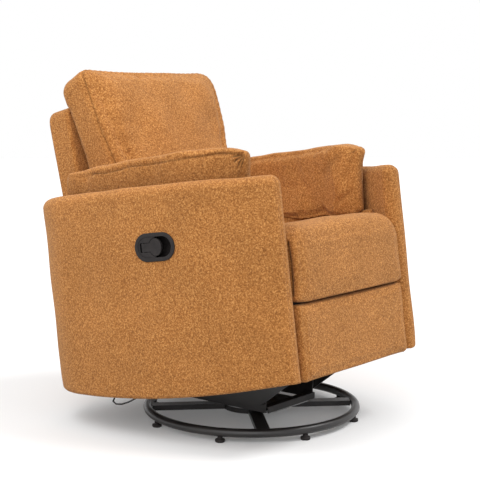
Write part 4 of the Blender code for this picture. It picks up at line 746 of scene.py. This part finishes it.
# Pull handle: a moulded oval cup pressed into the sitter's right arm, with a keyhole-shaped paddle that
# hinges at its rear end. A finger goes into the recess in front of the paddle's head.
HANDLE_Y, HANDLE_HEIGHT, CUP_STRAIGHT = -0.078, 0.542, 0.025
handle_x, handle_y, handle_turn = arm_plan(along_arm(HANDLE_Y, ARM_HALF, 0.6), ARM_HALF)
HANDLE = np.array([[sin(handle_turn), 0.0, -cos(handle_turn)], [-cos(handle_turn), 0.0, -sin(handle_turn)],
                   [0.0, 1.0, 0.0]])


def on_arm(points):
    """Puts points drawn as (along the arm to the front, up, out of the arm) where the handle sits."""
    return lean(np.asarray(points, float) @ HANDLE.T + np.array([-handle_x, handle_y, HANDLE_HEIGHT]))


def oval(radius, height):
    """One ring of a flat-sided oval: two half circles about points a little to the front and rear."""
    t = np.linspace(-pi / 2.0, pi / 2.0, 24)
    a = np.concatenate([CUP_STRAIGHT + radius * np.cos(t), -CUP_STRAIGHT - radius * np.cos(t)])
    b = np.concatenate([radius * np.sin(t), -radius * np.sin(t)])
    return np.stack([a, b, np.full_like(a, height)], axis=1)


def cut(thing, rings):
    """Cuts the closed shape that the rings make out of a piece, and keeps the piece's own finish."""
    tool = piece("cutting_shape", rings, cloth_finish, "chassis")
    cutting = thing.modifiers.new("cutting", "BOOLEAN")
    cutting.operation, cutting.solver, cutting.object = "DIFFERENCE", "EXACT", tool
    settle(thing)
    bpy.data.objects.remove(tool, do_unlink=True)


cut(right_arm, on_arm([oval(0.0292, height) for height in (-0.0340, -0.0200, -0.0080, 0.0040, 0.0150)]))

bend = np.linspace(0.0, pi / 2.0, 7)
cup_rings = [oval(0.029, -0.032), oval(0.029, 0.0003), oval(0.0388, 0.0003)]
cup_rings += [oval(0.0365 + 0.0025 * cos(t), 0.0022 + 0.0025 * sin(t)) for t in bend]
cup_rings += [oval(0.0295 - 0.0015 * sin(t), 0.0047 - 0.0020 * (1.0 - cos(t))) for t in bend]
cup_rings += [oval(0.0276, -0.010), oval(0.0268, -0.0270), oval(0.0245, -0.0293)]
cup = piece("handle_cup_moulding", on_arm(cup_rings), plastic, "chassis")
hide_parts("handle_cup")

# The paddle's head is HEAD in half width and HEAD_LONG times that in half length, round HEAD_AT; its stem
# is STEM in half width and ends at PIN in a barrel. FACE is the radius of the face's rear end and GAP the
# play round the paddle. All are in the handle's own drawing, with the front at +a.
HEAD, HEAD_LONG, HEAD_AT, STEM = 0.0243, 0.80, 0.0020, 0.012
PIN, PIN_LEVEL, BARREL, SLOT_END = -0.0420, -0.0050, 0.0038, -0.0462
FACE, GAP = 0.0283, 0.0008


def keyhole(inset, height):
    """One ring of the paddle's outline: a head a fifth wider than long on a straight stem, drawn in by
    inset. The stem ends just in front of its pin, and in a barrel round it."""
    reach, stem = HEAD - inset, STEM - inset
    hinge = PIN - max(BARREL ** 2 - (height - PIN_LEVEL) ** 2, 0.0) ** 0.5 + inset
    neck = np.arccos(stem / reach)
    t = np.linspace(-pi / 2.0 - neck, pi / 2.0 + neck, 60)
    neck_a = HEAD_AT - HEAD_LONG * reach * sin(neck)
    a = np.concatenate([HEAD_AT + HEAD_LONG * reach * np.cos(t), np.linspace(neck_a, hinge, 12)[1:],
                        np.full(8, hinge), np.linspace(hinge, neck_a, 12)[:-1]])
    b = np.concatenate([reach * np.sin(t), np.full(11, stem), np.linspace(stem, -stem, 10)[1:-1],
                        np.full(11, -stem)])
    return np.stack([a, b, np.full_like(a, height)], axis=1)


def cup_face(inset, height):
    """One ring of the flush face behind the paddle's head: the oval's rear end with the keyhole, 0.8 mm
    wider all round, taken out of it, so that the ring is a thick letter C."""
    reach, stem, rear = HEAD + GAP, STEM + GAP, SLOT_END
    neck = np.arccos(stem / reach)
    outer = np.linspace(pi / 2.0, 1.5 * pi, 40)
    lower = np.linspace(1.5 * pi, pi + pi / 2.0 - neck, 16)
    neck_a = HEAD_AT - HEAD_LONG * reach * sin(neck)
    head_a, head_b = HEAD_AT + HEAD_LONG * reach * np.cos(lower), reach * np.sin(lower)
    a = np.concatenate([np.linspace(HEAD_AT, -0.0245, 8), -CUP_STRAIGHT + FACE * np.cos(outer),
                        np.linspace(-0.0245, HEAD_AT, 8), head_a, np.linspace(neck_a, rear, 12)[1:],
                        np.full(8, rear), np.linspace(rear, neck_a, 12)[:-1], head_a[::-1]])
    b = np.concatenate([np.full(8, FACE), FACE * np.sin(outer), np.full(8, -FACE), head_b, np.full(11, -stem),
                        np.linspace(-stem, stem, 10)[1:-1], np.full(11, stem), -head_b[::-1]])
    line = np.stack([a, b], axis=1)
    line = line + inset * inward_of(line)
    return np.column_stack([line, np.full(len(line), height)])


face_rings = [cup_face(inset, height) for inset, height in ((0.0, -0.0030), (0.0, 0.0026), (0.0002, 0.0031),
                                                            (0.0006, 0.0034))]
face = piece("handle_cup_face", on_arm(face_rings), plastic, "chassis")

paddle_rings = [keyhole(0.0012 * (1.0 - sin(t)), -0.0046 - 0.0009 * cos(t)) for t in bend]
paddle_rings += [keyhole(0.0, height) for height in np.linspace(-0.0040, -0.0010, 6)]
paddle_rings += [keyhole(0.0012 * (1.0 - cos(t)), 0.0018 + 0.0012 * sin(t)) for t in bend]
paddle_rings += [keyhole(0.0045, 0.0028), keyhole(0.0060, 0.0024)]
paddle = piece("paddle_moulding", on_arm(paddle_rings), plastic, "paddle")
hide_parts("pull_paddle")
dress(zinc, "paddle_pin")


# Release cable: a steel wire in a smooth black casing, clipped to the cup's back, with a slack loop that
# hangs below the arm before it runs in to the release lever.
def cable_casing():
    """Black extruded casing with a faint mould ripple along it."""
    made, tree, shader, place = material("cable_casing")
    smear = noise(tree, place, 120.0, 2.0)
    set_inputs(tree, shader, {
        "Base Color": ramp(tree, smear, (0.0, 0.007, 0.007, 0.007), (1.0, 0.018, 0.017, 0.017)),
        "Roughness": rescale(tree, smear, 0.30, 0.5)})
    return made


dress(cable_casing(), "release_cable")


# Rear panel: a padded board that closes the chair's back low down, between the ends of the two arms.
def flat(depth):
    """A bag's face at one depth."""
    return lambda a, b: np.full_like(a, depth)


def board(low, high, spacing=0.006):
    """Outline of a board; low and high give half its width, the height and the corners' radius there."""
    corners = [(-low[0], *low[1:]), low, high, (-high[0], *high[1:])]
    return rounded_outline(corners, spacing)


panel_outline = board((0.2925, 0.158, 0.014), (0.2925, 0.325, 0.014), 0.008)
panel_rings = bag(panel_outline, flat(0.388), flat(0.422), 0.010)
panel = piece("rear_panel_cover", lean(panel_rings), cloth_finish, "chassis")
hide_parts("rear_panel")


# Seat: a plywood frame with sinuous springs carries one deep foam cushion. The cushion's cloth runs over
# the front edge and down as a border, its side panels are drawn in, and it crowns a little in the middle.
def bent_plywood():
    """Birch plywood: pale veneers in thin layers, darker glue lines between, and grain along the sheet."""
    made, tree, shader, place = material("birch_plywood")
    stretch = node(tree, "ShaderNodeMapping", {"Vector": place, "Scale": (12.0, 12.0, 160.0)})
    grain = noise(tree, stretch.outputs[0], 1.0, 5.0)
    set_inputs(tree, shader, {
        "Base Color": ramp(tree, grain, (0.3, 0.33, 0.20, 0.105), (0.7, 0.62, 0.45, 0.27)),
        "Normal": bump(tree, grain, 0.3, 0.0005), "Roughness": 0.68})
    return made


plywood = bent_plywood()
dress(plywood, "arm_core_left", "arm_core_right", "seat_frame", "back_frame", "footrest_board")
dress(zinc, "seat_springs")
dress(coat, "seat_plate_left", "seat_plate_right")


def seat_rings():
    """Rings across X of the seat cushion: its side outline, with the top dropping and the front drawing
    back round the last 55 mm at each side, and a 10 mm crown."""
    inset = 0.002
    rear, front, top = SEAT["rear"] - inset, SEAT["front"] + inset, SEAT["top"] - inset
    base, lip, lip_rear = SEAT["base"] + inset, SEAT["lip"] + inset, SEAT["lip_rear"] - inset
    profile = rounded_outline([(rear, base, 0.020), (rear, SEAT["top"] - 0.010, 0.040), (-0.10, top, 0.100),
                               (front, top, 0.050), (front - 0.002, 0.46, 0.050),
                               (front + 0.002, lip, 0.008), (lip_rear, lip, 0.012), (lip_rear, base, 0.004)])
    half, edge = SEAT["half"] - inset, SEAT["edge"]
    side = half - edge + edge * np.sin(np.linspace(0.0, pi / 2.0 * 0.97, 12))
    x = np.concatenate([-side[::-1], np.linspace(-half + edge, half - edge, 60)[1:-1], side])[:, None]
    drop = seat_drop(x, half)
    y, z = profile[:, 0][None, :], profile[:, 1][None, :]
    upper = ease(z, 0.47, 0.54)
    forward = ease(y, -0.33, -0.40)
    crown = SEAT["crown"] * (1.0 - (x / half) ** 2)
    z = z + upper * (crown - SEAT["drop"] * drop) + 0.010 * drop * (1.0 - upper) * (z < 0.40)
    y = y + 0.007 * drop * forward - 0.4 * crown * forward
    return np.stack([np.broadcast_to(x, z.shape), np.broadcast_to(y, z.shape), z], axis=-1)


def hold_seat(before, after):
    """Keeps the cushion on its springs, behind the footrest's line and between the decks."""
    room = SEAT["half"] + 0.0015
    after[:, 0] = np.clip(after[:, 0], -room, room)
    over_rail = before[:, 1] > SEAT["lip_rear"] - 0.012
    below = before[:, 2] < SEAT["base"] + 0.02
    after[:, 2] = np.where(over_rail & below, np.maximum(after[:, 2], SEAT["base"]), after[:, 2])
    low = before[:, 2] < SEAT["base"]
    after[:, 1] = np.where(low, np.minimum(after[:, 1], SEAT["lip_rear"]), after[:, 1])
    after[:, 1] = np.clip(after[:, 1], SEAT["front"] - 0.006, SEAT["rear"] + 0.004)
    after[:, 2] = np.maximum(after[:, 2], SEAT["lip"] - 0.0015)
    return after


seat = piece("seat_cushion_cover", seat_rings(), cloth_finish, "seat")
stuff(seat, 0.005, hold_seat, 0.0005)
points = points_of(seat)
points[:, 2] += (0.0015 * waves(points, 0.20, 21) - hollow(points[:, 1])) * ease(points[:, 2], 0.47, 0.53)
points[:, 1] += 0.0012 * waves(points, 0.15, 22) * ease(points[:, 1], -0.39, -0.41)
waist = np.sin(pi * ease(points[:, 2], 0.370, 0.540)) * ease(np.abs(points[:, 0]), 0.175, 0.240)
points[:, 0] -= np.sign(points[:, 0]) * 0.007 * waist * ease(points[:, 1], -0.30, -0.35)
set_points(seat, points)
# painted shade in the narrow gap beside each front corner: a shallow groove down the cushion's side, painted
# near black
for side in (-1.0, 1.0):
    edge_x = side * (SEAT["half"] - 0.0015)
    seam(seat, [(edge_x, -0.398, 0.380), (edge_x, -0.398, 0.525)], 0.0040, 0.0040, 0.0, 1.75)
set_points(seat, lean(points_of(seat)))
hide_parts("seat_cushion")


# Footrest: a board carried by the lazy-tong bars, with a foam pad and a cloth cover that wraps its edges.
PAD_HALF, PAD_LOW, PAD_HIGH, PAD_REAR = 0.2565, 0.1470, 0.3540, -0.3685


def hold_pad(before, after):
    """Keeps the pad flat on its board and inside the gap between the arms."""
    after[:, 0] = np.clip(after[:, 0], -PAD_HALF, PAD_HALF)
    after[:, 1] = np.clip(after[:, 1], -0.4175, PAD_REAR)
    after[:, 2] = np.clip(after[:, 2], PAD_LOW, PAD_HIGH)
    return after


pad_outline = board((PAD_HALF, PAD_LOW, 0.018), (PAD_HALF, PAD_HIGH, 0.010))
pad_rings = bag(pad_outline, flat(-0.413), flat(PAD_REAR), 0.010, crown=0.001, inset=0.0005)
pad = piece("footrest_pad_cover", pad_rings, cloth_finish, "footrest")
stuff(pad, 0.007, hold_pad, 0.0005)
points = points_of(pad)
points[:, 1] -= 0.0010 * waves(points, 0.14, 31) * (points[:, 1] < -0.395)
set_points(pad, lean(points))
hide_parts("footrest_pad")
dress(coat, "footrest_bracket", "lever_bracket", "back_hinge_plate_left", "back_hinge_plate_right")
dress(zinc, "torque_rod", "release_lever", "drive_link_left", "drive_link_right")
for word in ("left", "right"):
    dress(coat, f"tong_drive_arm_{word}", f"tong_lower_arm_{word}", f"tong_inner_bar_{word}",
          f"tong_outer_bar_{word}", f"tong_end_arm_{word}")


# Back: a padded, covered board that reclines on two hinge plates. It leans a further 6 degrees, and the
# loose cushion in front of it is a wedge, full at the lumbar and gusseted round its sides and top.
BACK_LEAN = radians(6.0)
BACK_MIDDLE = (0.3765, 0.712)
SHELL_FRONT = 0.333


def lean_back(points):
    """Tips points drawn upright to the back's own slope, about a line through the middle of its board."""
    x, y, z = np.moveaxis(np.asarray(points, float), -1, 0)
    y, z = y - BACK_MIDDLE[0], z - BACK_MIDDLE[1]
    return np.stack([x, BACK_MIDDLE[0] + y * cos(BACK_LEAN) + z * sin(BACK_LEAN),
                     BACK_MIDDLE[1] + z * cos(BACK_LEAN) - y * sin(BACK_LEAN)], axis=-1)


def shell_rear(a, b):
    """Depth of the shell's rear face, drawn in by 6 mm round its top."""
    return 0.422 - 0.006 * ease(b, 0.92, 0.965) ** 2


shell_outline = board((0.283, 0.335, 0.020), (0.285, 0.971, 0.034), 0.008)
shell_rings = bag(shell_outline, flat(SHELL_FRONT), shell_rear, 0.011)
shell = piece("back_shell_cover", lean(lean_back(shell_rings)), cloth_finish, "back")
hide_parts("back_shell")


def behind(z):
    """Depth of the shell's front face at a height."""
    return SHELL_FRONT + (z - BACK_MIDDLE[1]) * 0.105 - 0.0008


def back_front(a, b):
    """Depth of the cushion's front face: straight from lumbar to mid back, then steeper to the top."""
    return np.interp(b, [0.572, 0.800, 1.066], [0.118, 0.196, 0.262]) + 0.0 * a


def back_rear(a, b):
    """Depth of the cushion's rear face: on the shell, over its top by 7 mm, and off it at the lower sides."""
    over = ease(b, 0.975, 1.005)
    off = ease(b, 0.95, 0.82) * np.clip(np.abs(a) / 0.26, 0.0, 1.0) ** 6
    return behind(b) + 0.007 * over - 0.014 * off


def hold_back(before, after):
    """Keeps the cushion in front of the shell and above the seat."""
    after[:, 1] = np.minimum(after[:, 1], behind(after[:, 2]) + np.where(after[:, 2] > 0.98, 0.02, 0.0))
    after[:, 2] = np.clip(after[:, 2], 0.571, 1.090)
    after[:, 0] = np.clip(after[:, 0], -0.3000, 0.3060)
    return after


cushion_outline = rounded_outline([(-0.248, 0.568, 0.030), (0.248, 0.568, 0.030), (0.255, 0.680, 0.060),
                                   (0.292, 0.900, 0.090), (0.319, 1.084, 0.086), (0.03, 1.075, 0.20),
                                   (-0.299, 1.090, 0.052), (-0.281, 0.900, 0.090), (-0.255, 0.680, 0.060)])
cushion_rings = bag(cushion_outline, back_front, back_rear, 0.030, crown=0.022, inset=0.001)
cushion = piece("back_cushion_cover", cushion_rings, cloth_finish, "back")
stuff(cushion, 0.018, hold_back, 0.002)
points = points_of(cushion)
deep = np.clip((points[:, 1] - back_front(points[:, 0], points[:, 2])) / 0.10, 0.0, 1.0)
points[:, 2] -= 0.040 * deep * ease(points[:, 2], 0.93, 1.05)
points[:, 1] -= 0.0035 * waves(points, 0.17, 41) * (points[:, 1] < behind(points[:, 2]) - 0.03)
points[:, 2] += 0.0022 * waves(points, 0.26, 42) * ease(points[:, 2], 0.95, 1.05)
set_points(cushion, points)
for side in (-1.0, 1.0):
    edge = [(side * 0.247, 0.152, 0.610), (side * 0.262, 0.197, 0.782), (side * 0.275, 0.234, 0.895),
            (side * 0.282, 0.255, 0.995), (side * 0.286, 0.271, 1.064), (side * 0.270, 0.274, 1.080),
            (0.0, 0.274, 1.080)]
    # side and top seam with painted shade along it, and soft pulls towards it with faint painted shade
    seam(cushion, edge, 0.0036, 0.0034, 0.0006)
    for high, reach, drop, depth in ((0.925, 0.105, -0.040, 0.0035), (0.860, 0.120, -0.020, 0.0040),
                                     (0.740, 0.110, 0.020, 0.0030)):
        start = (side * 0.268, float(back_front(0.0, high)) + 0.004, high)
        end = (side * (0.268 - reach), float(back_front(0.0, high + drop)) - 0.012, high + drop)
        fold(cushion, start, end, depth, 0.030, 0.06)
set_points(cushion, lean(points_of(cushion)))
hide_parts("back_cushion")
